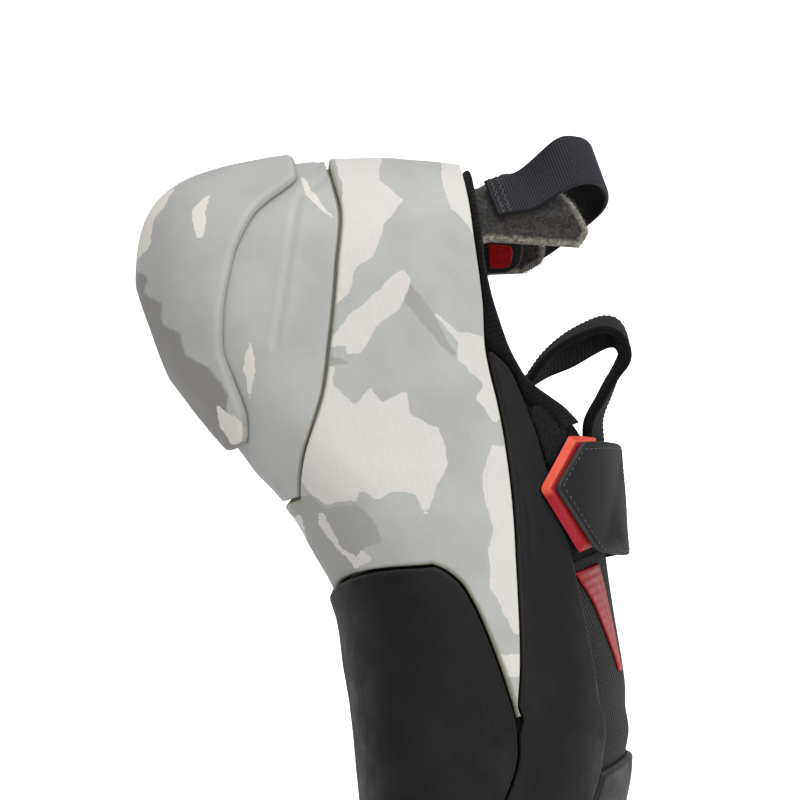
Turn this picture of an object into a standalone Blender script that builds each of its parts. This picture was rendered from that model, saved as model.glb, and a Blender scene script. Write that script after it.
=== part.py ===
"""Climbing shoe for the right foot, standing empty on its sole.

Every layer is cut from one last surface. A point of the last is named by its
place round the plan outline (around: 0 at the back of the heel, 1 to 2 along
the shoe, 3 at the toe, positive on the lateral side) and by its place up the
section (up: 0 at the spine of the underside, 1 at the widest line, 2 at the
top ridge). Lengths are in metres, +Z is up, +Y points to the toe, and the
origin is the centre of the heel's flat spot on the floor.
"""
import math

import bmesh
import bpy
from mathutils import Vector

# Driving sizes
LENGTH = 0.250
BALL_WIDTH = 0.0875
INSTEP_HEIGHT = 0.102
ARCH_RISE = 0.0203
HEEL_REACH = 0.046
TOE_REACH = 0.029
HEEL_REST = 0.0335
REST_STACK = 0.0036

# Walls and layers
UPPER_WALL = 0.0020
GAP = 0.0003
EDGE_GAP = 0.00045
CUP_THICK = 0.0020
RAND_THICK = 0.0026
SIDE_RAND_THICK = 0.0018
OUTSOLE_THICK = 0.0044
OUTSOLE_SIDE_THICK = 0.0022
HEEL_PATCH_THICK = 0.0022
INSOLE_THICK = 0.0018
BINDING_THICK = 0.0016
BINDING_WIDTH = 0.0050
PAD_THICK = 0.0012
STRIPE_THICK = 0.0008
TAB_THICK = 0.0014
STRAP_THICK = 0.0018
FELT_THICK = 0.0030
TONGUE_WALL = 0.0018
WEBBING_WIDTH = 0.0130
WEBBING_THICK = 0.0014

# Where the heel section and the toe section turn round their own centres
HEEL_CENTRE = 0.200
TOE_CENTRE = 0.872
FAN_POWER = 2.2
TOE_LATERAL_POWER = 1.45

# Sections: share of length, centre shift, lateral and medial half widths as
# shares of the ball width, height of the widest line over the underside as a
# share of the instep height, lower and upper superellipse powers
SECTIONS = (
    (0.200, 0.000, 0.337, 0.337, 0.235, 2.3, 2.00),
    (0.300, 0.006, 0.354, 0.337, 0.206, 2.2, 2.00),
    (0.400, 0.011, 0.389, 0.354, 0.216, 2.2, 1.95),
    (0.500, 0.006, 0.440, 0.400, 0.225, 2.4, 1.95),
    (0.600, -0.011, 0.491, 0.451, 0.225, 2.7, 2.00),
    (0.690, -0.046, 0.520, 0.480, 0.196, 3.0, 2.10),
    (0.780, -0.091, 0.480, 0.440, 0.157, 3.0, 2.20),
    (0.872, -0.149, 0.354, 0.354, 0.133, 2.8, 2.20),
)
BACK_WIDEST, BACK_LOWER_POWER, BACK_UPPER_POWER = 0.232, 2.3, 1.75
TIP_WIDEST, TIP_LOWER_POWER, TIP_UPPER_POWER = 0.093, 2.4, 2.0

# Underside: share of length, share of the arch rise
UNDERSIDE = (
    (0.000, -0.177), (0.048, -0.138), (0.096, -0.113), (0.128, -0.054),
    (0.160, -0.005), (0.200, 0.133), (0.240, 0.286), (0.272, 0.438),
    (0.300, 0.547), (0.328, 0.690), (0.364, 0.847), (0.400, 0.916),
    (0.448, 1.000), (0.472, 0.990), (0.520, 0.880), (0.588, 0.700),
    (0.680, 0.410), (0.760, 0.160), (0.820, 0.015), (0.872, 0.000),
    (0.928, 0.005), (0.988, 0.190),
)

# Ridge over the foot: share of length, share of the instep height
RIDGE = (
    (0.000, 1.000), (0.096, 1.078), (0.200, 1.100), (0.300, 1.045),
    (0.360, 0.980), (0.400, 0.949), (0.448, 0.917), (0.500, 0.880),
    (0.560, 0.849), (0.628, 0.818), (0.684, 0.781), (0.740, 0.711),
    (0.800, 0.613), (0.860, 0.490), (0.920, 0.358), (0.960, 0.265),
    (0.988, 0.196),
)

# Edges seen from the side: share of length, share of the instep height
CUP_EDGE = (
    (0.030, 0.550), (0.080, 0.544), (0.140, 0.485), (0.210, 0.404),
    (0.250, 0.354), (0.280, 0.302), (0.304, 0.262), (0.325, 0.239),
    (0.344, 0.225),
)
HEEL_RAND_TOP = (
    (0.080, 0.861), (0.120, 0.850), (0.160, 0.829), (0.220, 0.796),
    (0.272, 0.759), (0.320, 0.744), (0.388, 0.711), (0.436, 0.681),
    (0.475, 0.651), (0.550, 0.593), (0.580, 0.566), (0.610, 0.534),
)
OUTSOLE_TOP = (
    (0.438, 0.410), (0.448, 0.452), (0.462, 0.488), (0.482, 0.512),
    (0.520, 0.524), (0.560, 0.526),
    (0.610, 0.522), (0.650, 0.500), (0.700, 0.410), (0.740, 0.290),
    (0.780, 0.200), (0.820, 0.155), (0.872, 0.138), (0.930, 0.138),
    (0.990, 0.145),
)
SIDE_RAND_TOP = (
    (0.262, 0.764), (0.272, 0.778), (0.290, 0.800), (0.305, 0.806), (0.348, 0.808),
    (0.400, 0.801), (0.452, 0.793), (0.488, 0.782), (0.523, 0.770),
    (0.574, 0.751), (0.624, 0.731), (0.675, 0.705), (0.720, 0.635),
    (0.760, 0.545), (0.800, 0.455), (0.850, 0.360), (0.900, 0.290),
    (0.950, 0.235), (0.990, 0.200),
)
COLLAR = (
    (0.080, 0.891), (0.152, 0.858), (0.190, 0.835), (0.231, 0.824),
    (0.267, 0.822), (0.300, 0.831), (0.316, 0.847), (0.332, 0.873),
    (0.349, 0.900), (0.383, 0.928), (0.400, 0.932),
)
STRIPE_LOW = ((0.500, 0.775), (0.550, 0.800), (0.604, 0.804), (0.632, 0.800))
STRIPE_HIGH = ((0.500, 0.848), (0.545, 0.836), (0.586, 0.822), (0.632, 0.806))
STRAP_END = ((0.385, 0.879), (0.421, 0.783), (0.492, 0.815), (0.510, 0.880))
TAB_END = ((0.376, 0.870), (0.417, 0.760), (0.489, 0.792))

# Upper edge of the patch under the heel: place round the heel, height share
HEEL_PATCH_EDGE = (
    (0.00, 0.475), (0.22, 0.470), (0.36, 0.340), (0.50, 0.262), (0.75, 0.190),
    (0.90, 0.172), (1.00, 0.174), (1.06, 0.178), (1.09, 0.168), (1.11, 0.150),
)

# Places along the shoe, shares of length
CUP_FRONT = 0.344
OUTSOLE_REAR = 0.440
OUTSOLE_BOW = 0.017
SKIN_CLIMB = (0.65, 1.15)
RAND_TIP = 0.608
SPLIT_RISE = 1.6
SIDE_RAND_START = 0.272
THROAT_FRONT = 0.392
HEEL_PATCH_FRONT = 0.272
TOE_PATCH_REAR = 0.704
BINDING_FRONT = 0.364
PAD_START, PAD_FRONT = 0.340, 0.392
STRIPE_START, STRIPE_FRONT = 0.502, 0.628
STRAP_REAR, STRAP_FRONT = 0.400, 0.508

STRAP_SEAM = ((0.380, 0.840), (0.520, 0.800))
STRAP_ROWS = 6
STRAP_CLIMB = (1.52, 1.64)
TAB_REACH = 0.45

# Tongue: shares of length where it is sewn down, how far up the section its
# sides lie there, then its fold: y and z shares, edge flare, edge drop, width,
# and how far the inner edge alone leans forward
TONGUE_SEAM = (0.424, 0.408, 0.394)
TONGUE_SIDE = 1.76
TONGUE_LIFT = 0.0013
TONGUE_PATH = (
    (0.372, 0.985, 0.000, 0.035, 1.05, 0.000),
    (0.350, 1.030, 0.004, 0.030, 1.20, 0.000),
    (0.328, 1.072, 0.010, 0.025, 1.35, 0.000),
    (0.312, 1.099, 0.016, 0.015, 1.45, 0.002),
    (0.298, 1.109, 0.018, 0.012, 1.50, 0.004),
    (0.286, 1.105, 0.016, 0.012, 1.50, 0.008),
    (0.279, 1.085, 0.013, 0.012, 1.50, 0.014),
    (0.277, 1.050, 0.010, 0.012, 1.50, 0.020),
    (0.281, 0.976, 0.007, 0.010, 1.45, 0.024),
    (0.292, 0.905, 0.005, 0.008, 1.40, 0.016),
    (0.310, 0.840, 0.004, 0.004, 1.30, 0.004),
)

# Felt at the heel: place round the heel, y and z shares of its top edge
EAR_TOP = (
    (-0.95, 0.205, 0.930), (-0.80, 0.200, 0.985), (-0.60, 0.176, 1.010),
    (-0.35, 0.134, 0.972), (0.00, 0.108, 0.975), (0.30, 0.128, 1.050),
    (0.50, 0.160, 1.100), (0.62, 0.188, 1.110), (0.70, 0.202, 1.073),
)
EAR_GAP = 0.0018
EAR_FOOT = 0.05
EAR_RISE = 0.0035
EAR_PINCH = 0.92
LOOP_NEAR, LOOP_FAR = 0.36, -0.62
LOOP_NEAR_LEG = (0.12, 0.38, 0.65)
LOOP_FAR_LEG = (0.85, 0.60, 0.30)
LOOP_ARCH = (
    (0.150, 0.116, 1.110), (0.105, 0.120, 1.165), (0.020, 0.131, 1.190),
    (-0.080, 0.145, 1.180), (-0.160, 0.155, 1.130),
)

# Rows and columns of the shared lattice, margins underneath, and the steps
# that the tables are read with
LASTING_MARGIN = 0.55
ROWS = (0.0, 0.30, LASTING_MARGIN, 0.70, 0.85, 1.0, 1.13, 1.27, 1.42, 1.58,
        1.74, 1.88, 2.0)
HEEL_STEPS = 8
SIDE_STEPS = 24
TOE_STEPS = 7
FINE_STEPS = (1, 8)
PLUG_EDGE = 0.525
PLUG_STEP = 0.535
INSOLE_EDGE = 0.70
SLIVER = 0.025
ROW_MATCH = 0.012
COLUMN_MARGIN = 0.2
FLAT_ROWS = (0.18,)
TONGUE_STEPS = 6
EAR_STEPS = 14
EAR_LEVELS = (-1.0, -0.4, 0.0, 0.25, 0.5, 0.75, 1.0)
PROBE = 0.004
BISECTIONS = 40
SHARP_ANGLE = math.radians(40)


def curve(rows, column=1):
    """A smooth monotone curve through one column of a table of shares."""
    xs = [row[0] for row in rows]
    ys = [row[column] for row in rows]
    steps = [b - a for a, b in zip(xs, xs[1:])]
    slopes = [(b - a) / h for a, b, h in zip(ys, ys[1:], steps)]
    tangents = [slopes[0]]
    for before, after in zip(slopes, slopes[1:]):
        product = before * after
        tangents.append(2 * product / (before + after) if product > 0 else 0.0)
    tangents.append(slopes[-1])

    def value(x):
        x = min(max(x, xs[0]), xs[-1])
        i = 0
        while i < len(steps) - 1 and x > xs[i + 1]:
            i += 1
        h = steps[i]
        t = (x - xs[i]) / h
        return ((2 * t**3 - 3 * t**2 + 1) * ys[i]
                + (t**3 - 2 * t**2 + t) * h * tangents[i]
                + (3 * t**2 - 2 * t**3) * ys[i + 1]
                + (t**3 - t**2) * h * tangents[i + 1])
    return value


SHIFT = curve(SECTIONS, 1)
LATERAL = curve(SECTIONS, 2)
MEDIAL = curve(SECTIONS, 3)
WIDEST = curve(SECTIONS, 4)
LOWER_POWER = curve(SECTIONS, 5)
UPPER_POWER = curve(SECTIONS, 6)
UNDER = curve(UNDERSIDE)
OVER = curve(RIDGE)


def underside(y):
    return REST_STACK + ARCH_RISE * UNDER(y / LENGTH)


def ridge(y):
    return INSTEP_HEIGHT * OVER(y / LENGTH)


def place(share):
    """The place round the outline at a share of the length."""
    return 1 + (share - HEEL_CENTRE) / (TOE_CENTRE - HEEL_CENTRE)


def mix(a, b, t):
    return a + (b - a) * t


def ease(low, high, value):
    """0 below low, 1 above high, and an even S between."""
    t = min(max((value - low) / (high - low), 0.0), 1.0)
    return t * t * (3 - 2 * t)


def fan_width(side_width, reach, sine, cosine, power):
    """Half width of a section plane turned from across to lengthwise."""
    across = abs(sine / side_width) ** power
    along = abs(cosine / reach) ** power
    return (across + along) ** (-1 / power)


def section(around):
    """Centre, direction, half width, widest height and powers of a half."""
    side = -1.0 if around < 0 else 1.0
    u = abs(around)
    half_width = LATERAL if side > 0 else MEDIAL
    if u <= 1 or u > 2:
        share = HEEL_CENTRE if u <= 1 else TOE_CENTRE
        angle = u * math.pi / 2 if u <= 1 else (3 - u) * math.pi / 2
        sine, cosine = math.sin(angle), math.cos(angle)
        reach = HEEL_REACH if u <= 1 else TOE_REACH
        along = -cosine if u <= 1 else cosine
        ends = ((BACK_WIDEST, BACK_LOWER_POWER, BACK_UPPER_POWER) if u <= 1
                else (TIP_WIDEST, TIP_LOWER_POWER, TIP_UPPER_POWER))
        power = TOE_LATERAL_POWER if u > 2 and side > 0 else FAN_POWER
        width = fan_width(half_width(share) * BALL_WIDTH, reach, sine, cosine,
                          power)
        widest, lower, upper = (
            mix(end, table(share), sine**2)
            for end, table in zip(ends, (WIDEST, LOWER_POWER, UPPER_POWER)))
        direction = (side * sine, along)
    else:
        share = mix(HEEL_CENTRE, TOE_CENTRE, u - 1)
        width = half_width(share) * BALL_WIDTH
        widest, lower, upper = WIDEST(share), LOWER_POWER(share), UPPER_POWER(share)
        direction = (side, 0.0)
    centre = (SHIFT(share) * BALL_WIDTH, share * LENGTH)
    return centre, direction, width, widest * INSTEP_HEIGHT, lower, upper


def last_point(around, up):
    """A point of the last, measured from the back of the heel."""
    if abs(around) > 3:
        around -= math.copysign(6, around)
    centre, direction, width, widest, lower, upper = section(around)
    line = underside(centre[1] + direction[1] * width) + widest
    if up <= 1:
        angle = up * math.pi / 2
        out = math.sin(angle) ** (2 / lower) * width
        y = centre[1] + direction[1] * out
        drop = max(math.cos(angle), 0.0) ** (2 / lower)
        z = mix(line, underside(y), drop)
    else:
        angle = (up - 1) * math.pi / 2
        out = max(math.cos(angle), 0.0) ** (2 / upper) * width
        y = centre[1] + direction[1] * out
        z = line + (ridge(y) - line) * math.sin(angle) ** (2 / upper)
    return Vector((centre[0] + direction[0] * out, y, z))


def normal(around, up):
    """Outward direction of the last surface."""
    step = PROBE
    if up < step or up > 2 - step:
        y = last_point(around, up).y
        line = underside if up < 1 else ridge
        reach = PROBE * LENGTH
        slope = (line(y + reach) - line(y - reach)) / (2 * reach)
        out = Vector((0, -slope, 1)).normalized()
        return -out if up < 1 else out
    side = 1.0 if around >= 0 else -1.0
    low, high = max(up - step, 0), min(up + step, 2)
    across = last_point(around + step, up) - last_point(around - step, up)
    rise = last_point(around, high) - last_point(around, low)
    out = across.cross(rise)
    centre = section(around)[0]
    spot = last_point(around, up)
    middle = Vector((centre[0], spot.y if 1 <= abs(around) <= 2 else centre[1],
                     (underside(spot.y) + ridge(spot.y)) / 2))
    if out.dot(spot - middle) < 0:
        out = -out
    return out.normalized() if out.length > 0 else Vector((side, 0, 0))


def surface(around, up, out=0.0):
    """A point at a distance outside the last, in the shoe's own frame."""
    point = last_point(around, up) + normal(around, up) * out
    return Vector((point.x, point.y - HEEL_REST, point.z))


def up_at(around, edge, lift=0.0):
    """How far up the section an edge drawn in side view lies."""
    low, high = 0.0, 2.0
    for _ in range(BISECTIONS):
        middle = (low + high) / 2
        point = last_point(around, middle)
        if point.z < INSTEP_HEIGHT * edge(point.y / LENGTH) + lift:
            low = middle
        else:
            high = middle
    return (low + high) / 2


LATTICE = sorted(
    {i / HEEL_STEPS for i in range(HEEL_STEPS + 1)}
    | {1 + i / SIDE_STEPS for i in range(SIDE_STEPS + 1)}
    | {1 + (i + 0.5) / SIDE_STEPS for i in range(*FINE_STEPS)}
    | {2 + i / TOE_STEPS for i in range(TOE_STEPS + 1)})


def seat(share):
    """The place of the shared lattice nearest to a share of the length."""
    return min(LATTICE, key=lambda u: abs(u - place(share)))


def columns(start, end):
    """Places round the outline from start to end, on the shared lattice."""
    margin = COLUMN_MARGIN / SIDE_STEPS
    between = [u for u in LATTICE if start + margin < u < end - margin]
    return [start] + between + [end]


def rows(low, high, extra=()):
    """Heights up the section from low to high, on the shared lattice."""
    fixed = [low, high] + [e for e in extra if low + SLIVER < e < high - SLIVER]
    between = [r for r in ROWS if all(abs(r - f) > SLIVER for f in fixed)
               and low < r < high]
    return sorted(fixed + between)


def column(around, low, high, extra=()):
    return [(around, up) for up in rows(low, high, extra)]


def zip_columns(left, right):
    """Triangles and quads between two columns of places on the last."""
    faces = []
    i = j = 0
    while i < len(left) - 1 or j < len(right) - 1:
        here = left[i + 1][1] if i < len(left) - 1 else math.inf
        there = right[j + 1][1] if j < len(right) - 1 else math.inf
        if abs(here - there) < ROW_MATCH:
            faces.append((left[i], right[j], right[j + 1], left[i + 1]))
            i, j = i + 1, j + 1
        elif here < there:
            faces.append((left[i], right[j], left[i + 1]))
            i += 1
        else:
            faces.append((left[i], right[j], right[j + 1]))
            j += 1
    return faces


def strip(cols):
    faces = []
    for left, right in zip(cols, cols[1:]):
        faces += zip_columns(left, right)
    return faces


def on_side(side, faces):
    """Faces on one side of the shoe, mirrored ones turned round again."""
    return [tuple((side * u, v) for u, v in face[::side]) for face in faces]


def both_sides(faces):
    return on_side(1, faces) + on_side(-1, faces)


def shoe_mesh(name, points, faces):
    """A closed mesh object from points and faces, normals pointing out."""
    mesh = bpy.data.meshes.new(name)
    bm = bmesh.new()
    verts = [bm.verts.new(point) for point in points]
    for face in faces:
        corners = list(dict.fromkeys(face))
        if len(corners) > 2:
            bm.faces.new([verts[i] for i in corners])
    bmesh.ops.triangulate(bm, faces=bm.faces[:], quad_method='FIXED')
    bmesh.ops.recalc_face_normals(bm, faces=bm.faces[:])
    bm.to_mesh(mesh)
    bm.free()
    mesh.shade_smooth()
    mesh.set_sharp_from_angle(angle=SHARP_ANGLE)
    thing = bpy.data.objects.new(name, mesh)
    SHOE.objects.link(thing)
    return thing


def layer(name, faces, inner, outer, floor=None):
    """A solid layer on the last between two offsets, cut to the faces."""
    index, places, flat = {}, [], []
    for face in faces:
        corners = []
        for spot in face:
            point = last_point(*spot)
            key = tuple(round(value * 1e6) for value in point)
            if key not in index:
                index[key] = len(places)
                places.append(spot)
            if index[key] not in corners:
                corners.append(index[key])
        if len(corners) > 2:
            flat.append(corners)
    count = len(places)
    inside = [surface(*spot, inner(*spot)) for spot in places]
    outside = [surface(*spot, outer(*spot)) for spot in places]
    if floor is not None:
        for point in outside:
            point.z = max(point.z, floor)
    solid = [list(face) for face in flat]
    solid += [[i + count for i in reversed(face)] for face in flat]
    edges = {}
    for face in flat:
        for a, b in zip(face, face[1:] + face[:1]):
            if (b, a) in edges:
                del edges[(b, a)]
            else:
                edges[(a, b)] = True
    solid += [[b, a, a + count, b + count] for a, b in edges]
    return shoe_mesh(name, outside + inside, solid)


def steady(value):
    return lambda around, up: value


def sheet(name, grid, thickness):
    """A solid of even thickness round a grid of points."""
    height, width = len(grid), len(grid[0])

    def out(i, j):
        along = grid[min(i + 1, height - 1)][j] - grid[max(i - 1, 0)][j]
        across = grid[i][min(j + 1, width - 1)] - grid[i][max(j - 1, 0)]
        return across.cross(along).normalized() * thickness / 2

    points, faces = [], []
    for side in (1, -1):
        points += [grid[i][j] + out(i, j) * side
                   for i in range(height) for j in range(width)]
    back = height * width
    for i in range(height - 1):
        for j in range(width - 1):
            a, b = i * width + j, i * width + j + 1
            c, d = b + width, a + width
            faces.append([a, b, c, d])
            faces.append([back + d, back + c, back + b, back + a])
    rim = ([(0, j) for j in range(width)]
           + [(i, width - 1) for i in range(1, height)]
           + [(height - 1, j) for j in range(width - 2, -1, -1)]
           + [(i, 0) for i in range(height - 2, 0, -1)])
    ids = [i * width + j for i, j in rim]
    for a, b in zip(ids, ids[1:] + ids[:1]):
        faces.append([b, a, back + a, back + b])
    return shoe_mesh(name, points, faces)


def paint(thing, colour, roughness, metallic=0.0):
    """Gives a piece its own Principled material."""
    material = bpy.data.materials.new(thing.name)
    material.use_nodes = True
    shader = material.node_tree.nodes['Principled BSDF']
    shader.inputs['Base Color'].default_value = (*colour, 1.0)
    shader.inputs['Roughness'].default_value = roughness
    shader.inputs['Metallic'].default_value = metallic
    thing.data.materials.append(material)
    return thing


COLLAR_LINE = curve(COLLAR)
CUP_LINE = curve(CUP_EDGE)
HEEL_RAND_LINE = curve(HEEL_RAND_TOP)
OUTSOLE_LINE = curve(OUTSOLE_TOP)
SIDE_RAND_LINE = curve(SIDE_RAND_TOP)
HEEL_PATCH_LINE = curve(HEEL_PATCH_EDGE)


def rubber_top(share):
    """Upper edge of the rubber beside the collar."""
    return max(HEEL_RAND_LINE(share), SIDE_RAND_LINE(share))


def make_upper():
    """Hollow last-shaped shell, open at the collar and underneath."""
    front = seat(THROAT_FRONT)
    rear = []
    for u in columns(0, front):
        rear.append(column(u, LASTING_MARGIN, up_at(u, COLLAR_LINE, -EDGE_GAP)))
    mouth = rear[-1][-1][1]
    ahead = [column(u, LASTING_MARGIN, 2.0, (mouth,) if u == front else ())
             for u in columns(front, 3)]
    faces = strip(rear) + strip(ahead)
    upper = layer('upper', both_sides(faces), steady(-UPPER_WALL), steady(0.0))
    return paint(upper, (0.012, 0.012, 0.013), 0.85)


def make_insole():
    """Footbed with the filler that closes the lasting margin."""
    def spots(u):
        ups = [0.0, PLUG_EDGE, PLUG_STEP, INSOLE_EDGE]
        return [(u, up) for up in ups]

    def top(around, up):
        return -EDGE_GAP if up <= PLUG_EDGE else -UPPER_WALL - GAP

    faces = strip([spots(u) for u in columns(0, 3)])
    depth = steady(-UPPER_WALL - GAP - INSOLE_THICK)
    return paint(layer('insole', both_sides(faces), depth, top),
                 (0.35, 0.33, 0.30), 0.9)


def make_outsole():
    """Forefoot rubber, thick underneath and thinner where it wraps up."""
    rear = seat(OUTSOLE_REAR)
    bow = place(OUTSOLE_BOW) - place(0)
    top = up_at(rear, OUTSOLE_LINE)
    first = [(rear - bow * math.sin(math.pi * up / top), up)
             for up in rows(0.0, top)]
    rest = [column(u, 0.0, up_at(u, OUTSOLE_LINE), FLAT_ROWS)
            for u in columns(rear, 3)[1:]]

    def skin(around, up):
        return GAP + mix(OUTSOLE_THICK, OUTSOLE_SIDE_THICK, ease(*SKIN_CLIMB, up))

    faces = strip([first] + rest)
    return paint(layer('outsole', both_sides(faces), steady(GAP), skin, 0.0),
                 (0.014, 0.014, 0.015), 0.55)


def make_heel_cup():
    """Moulded rubber round and under the heel."""
    cols = [column(u, 0.0, up_at(u, CUP_LINE)) for u in columns(0, seat(CUP_FRONT))]
    return paint(layer('heel_cup', both_sides(strip(cols)), steady(GAP),
                       steady(GAP + CUP_THICK)), (0.52, 0.52, 0.52), 0.5)


def make_heel_sole():
    """Crescent patch under the heel with its tab up the back."""
    inner = GAP + CUP_THICK + EDGE_GAP
    front = seat(HEEL_PATCH_FRONT)
    cols = [column(u, 0.0, up_at(u, lambda share: HEEL_PATCH_LINE(u)), FLAT_ROWS)
            for u in columns(0, front)]
    return paint(layer('heel_sole', both_sides(strip(cols)), steady(inner),
                       steady(inner + HEEL_PATCH_THICK), 0.0),
                 (0.55, 0.54, 0.51), 0.5)


def make_heel_rand():
    """Tensioned rubber round the heel, joined under the arch."""
    rear = seat(OUTSOLE_REAR)
    bow = place(OUTSOLE_BOW) - place(0)
    step = place(EDGE_GAP / LENGTH) - place(0)
    joint = seat(CUP_FRONT) + step
    end = rear - step
    low_at_joint = up_at(joint, CUP_LINE, EDGE_GAP)
    low_at_end = up_at(end, OUTSOLE_LINE, EDGE_GAP)

    def split(u):
        t = min(SPLIT_RISE * (u - joint) / (end - joint), 1.0)
        return mix(low_at_joint, low_at_end, t)

    def top(u):
        return up_at(u, HEEL_RAND_LINE)

    back = [column(u, up_at(u, CUP_LINE, EDGE_GAP), top(u))
            for u in columns(0, joint)]
    middle = [u for u in columns(joint, end)[:-1]
              if u == joint or u < end - bow - step]
    bottom = [column(u, 0.0, split(u)) for u in middle]
    bottom.append([(end - bow * math.sin(math.pi * up / low_at_end), up)
                   for up in rows(0.0, low_at_end)])
    above = [column(u, split(u), top(u)) for u in middle + [end]]
    ahead = [column(u, up_at(u, OUTSOLE_LINE, EDGE_GAP), top(u))
             for u in columns(end, seat(RAND_TIP))]
    faces = strip(back) + strip(bottom) + strip(above) + strip(ahead)
    return paint(layer('rand_heel', both_sides(faces), steady(GAP),
                       steady(GAP + RAND_THICK)), (0.68, 0.68, 0.66), 0.55)


def make_side_rand():
    """Black rubber along both sides and round the toe."""
    tip = seat(RAND_TIP)

    def low(u):
        edge = HEEL_RAND_LINE if u <= tip else OUTSOLE_LINE
        return up_at(u, edge, EDGE_GAP)

    cols = [column(u, low(u), up_at(u, SIDE_RAND_LINE))
            for u in columns(seat(SIDE_RAND_START), 3)]
    return paint(layer('rand_side', both_sides(strip(cols)), steady(GAP),
                       steady(GAP + SIDE_RAND_THICK)), (0.020, 0.020, 0.023), 0.5)


def make_toe_patch():
    """Rubber over the toes, guessed."""
    cols = [column(u, up_at(u, SIDE_RAND_LINE, EDGE_GAP), 2.0)
            for u in columns(seat(TOE_PATCH_REAR), 3)]
    return paint(layer('toe_patch', both_sides(strip(cols)), steady(GAP),
                       steady(GAP + SIDE_RAND_THICK)), (0.018, 0.018, 0.020), 0.6)


def make_binding():
    """Ribbed knit edge of the collar."""
    def low(u):
        inside = up_at(u, COLLAR_LINE, -BINDING_WIDTH)
        return max(inside, up_at(u, rubber_top, EDGE_GAP))

    cols = [column(u, low(u), up_at(u, COLLAR_LINE))
            for u in columns(0, seat(BINDING_FRONT))]
    return paint(layer('collar_binding', both_sides(strip(cols)), steady(GAP),
                       steady(GAP + BINDING_THICK)), (0.010, 0.010, 0.011), 0.95)


def make_loop_pad():
    """Pile half of the closure, between the collar and the strap."""
    def high(u):
        return up_at(u, COLLAR_LINE, -BINDING_WIDTH - EDGE_GAP)

    cols = [column(u, up_at(u, SIDE_RAND_LINE, EDGE_GAP), high(u))
            for u in columns(seat(PAD_START), seat(PAD_FRONT))]
    return paint(layer('loop_pad', on_side(1, strip(cols)), steady(GAP),
                       steady(GAP + PAD_THICK)), (0.008, 0.008, 0.009), 1.0)


def make_stripe():
    """Red stripe along the outer side of the throat."""
    low, high = curve(STRIPE_LOW), curve(STRIPE_HIGH)
    cols = [column(u, max(up_at(u, low), up_at(u, SIDE_RAND_LINE, EDGE_GAP)),
                   up_at(u, high))
            for u in columns(seat(STRIPE_START), seat(STRIPE_FRONT))]
    return paint(layer('throat_stripe', on_side(1, strip(cols)), steady(GAP),
                       steady(GAP + STRIPE_THICK)), (0.45, 0.02, 0.02), 0.3)


def straight(table):
    """A line of straight runs through a table of shares."""
    def value(x):
        for (x0, y0), (x1, y1) in zip(table, table[1:]):
            if x <= x1:
                break
        return mix(y0, y1, (x - x0) / (x1 - x0))
    return value


STRAP_LINE, TAB_LINE = straight(STRAP_END), straight(TAB_END)
TAB_LIFT = GAP + max(BINDING_THICK, SIDE_RAND_THICK, TONGUE_WALL) + 2 * GAP
STRAP_LIFT = TAB_LIFT + TAB_THICK + 2 * GAP


def strap_faces(line_points, line, reach):
    """Spots of the closure from its end, drawn in side view, to the ridge."""
    ends = [row[0] for row in line_points]
    middles = [mix(a, b, 0.5) for a, b in zip(ends, ends[1:])]
    corners = sorted(ends + middles)
    first, last = corners[0], corners[-1]
    grid = []
    for corner in corners:
        s = (corner - first) / (last - first)
        low = up_at(place(corner), line)
        spots = []
        for k in range(STRAP_ROWS + 1):
            t = reach * k / STRAP_ROWS
            rear = mix(first, STRAP_REAR, t)
            front = mix(last, STRAP_FRONT + last - STRAP_END[-1][0], t)
            spots.append((place(mix(rear, front, s)), mix(low, 2.0, t)))
        grid.append(spots)
    return [(a[k], b[k], b[k + 1], a[k + 1])
            for a, b in zip(grid, grid[1:]) for k in range(STRAP_ROWS)]


def make_strap():
    """Closure strap from its medial seam over the instep to its end."""
    lateral = strap_faces(STRAP_END, STRAP_LINE, 1.0)
    medial = strap_faces(STRAP_END, straight(STRAP_SEAM), 1.0)

    def lift(around, up):
        if around >= 0 or up > 2 - SLIVER:
            return STRAP_LIFT
        return mix(GAP, STRAP_LIFT, ease(*STRAP_CLIMB, up))

    def top(around, up):
        return lift(around, up) + STRAP_THICK

    faces = on_side(1, lateral) + on_side(-1, medial)
    return paint(layer('strap', faces, lift, top), (0.030, 0.030, 0.034), 0.8)


def make_strap_tab():
    """Moulded end that stands out from under the strap."""
    faces = strap_faces(TAB_END, TAB_LINE, TAB_REACH)
    return paint(layer('strap_tab', on_side(1, faces), steady(TAB_LIFT),
                       steady(TAB_LIFT + TAB_THICK)), (0.60, 0.05, 0.03), 0.4)


def framed(x, y_share, z_share):
    return Vector((x, y_share * LENGTH - HEEL_REST, z_share * INSTEP_HEIGHT))


def make_tongue():
    """Knit tongue, sewn under the strap and folded into a pull loop."""
    steps = [2 * k / TONGUE_STEPS - 1 for k in range(TONGUE_STEPS + 1)]
    middle = TONGUE_STEPS // 2
    reach = 2 - TONGUE_SIDE
    grid = []
    for share in TONGUE_SEAM:
        grid.append([surface(math.copysign(place(share), a),
                             2 - abs(a) * reach, TONGUE_LIFT) for a in steps])
    centre = grid[-1][middle].x
    half = grid[-1][-1].x - centre
    for y, z, flare, drop, wide, lean in TONGUE_PATH:
        grid.append([framed(centre + a * half * wide, y + lean * max(-a, 0), z)
                     + Vector((0, flare * LENGTH, -drop * INSTEP_HEIGHT)) * a * a
                     for a in steps])
    return paint(sheet('tongue', grid, TONGUE_WALL), (0.012, 0.012, 0.013), 0.9)


EAR_Y, EAR_Z = curve(EAR_TOP, 1), curve(EAR_TOP, 2)


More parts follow.
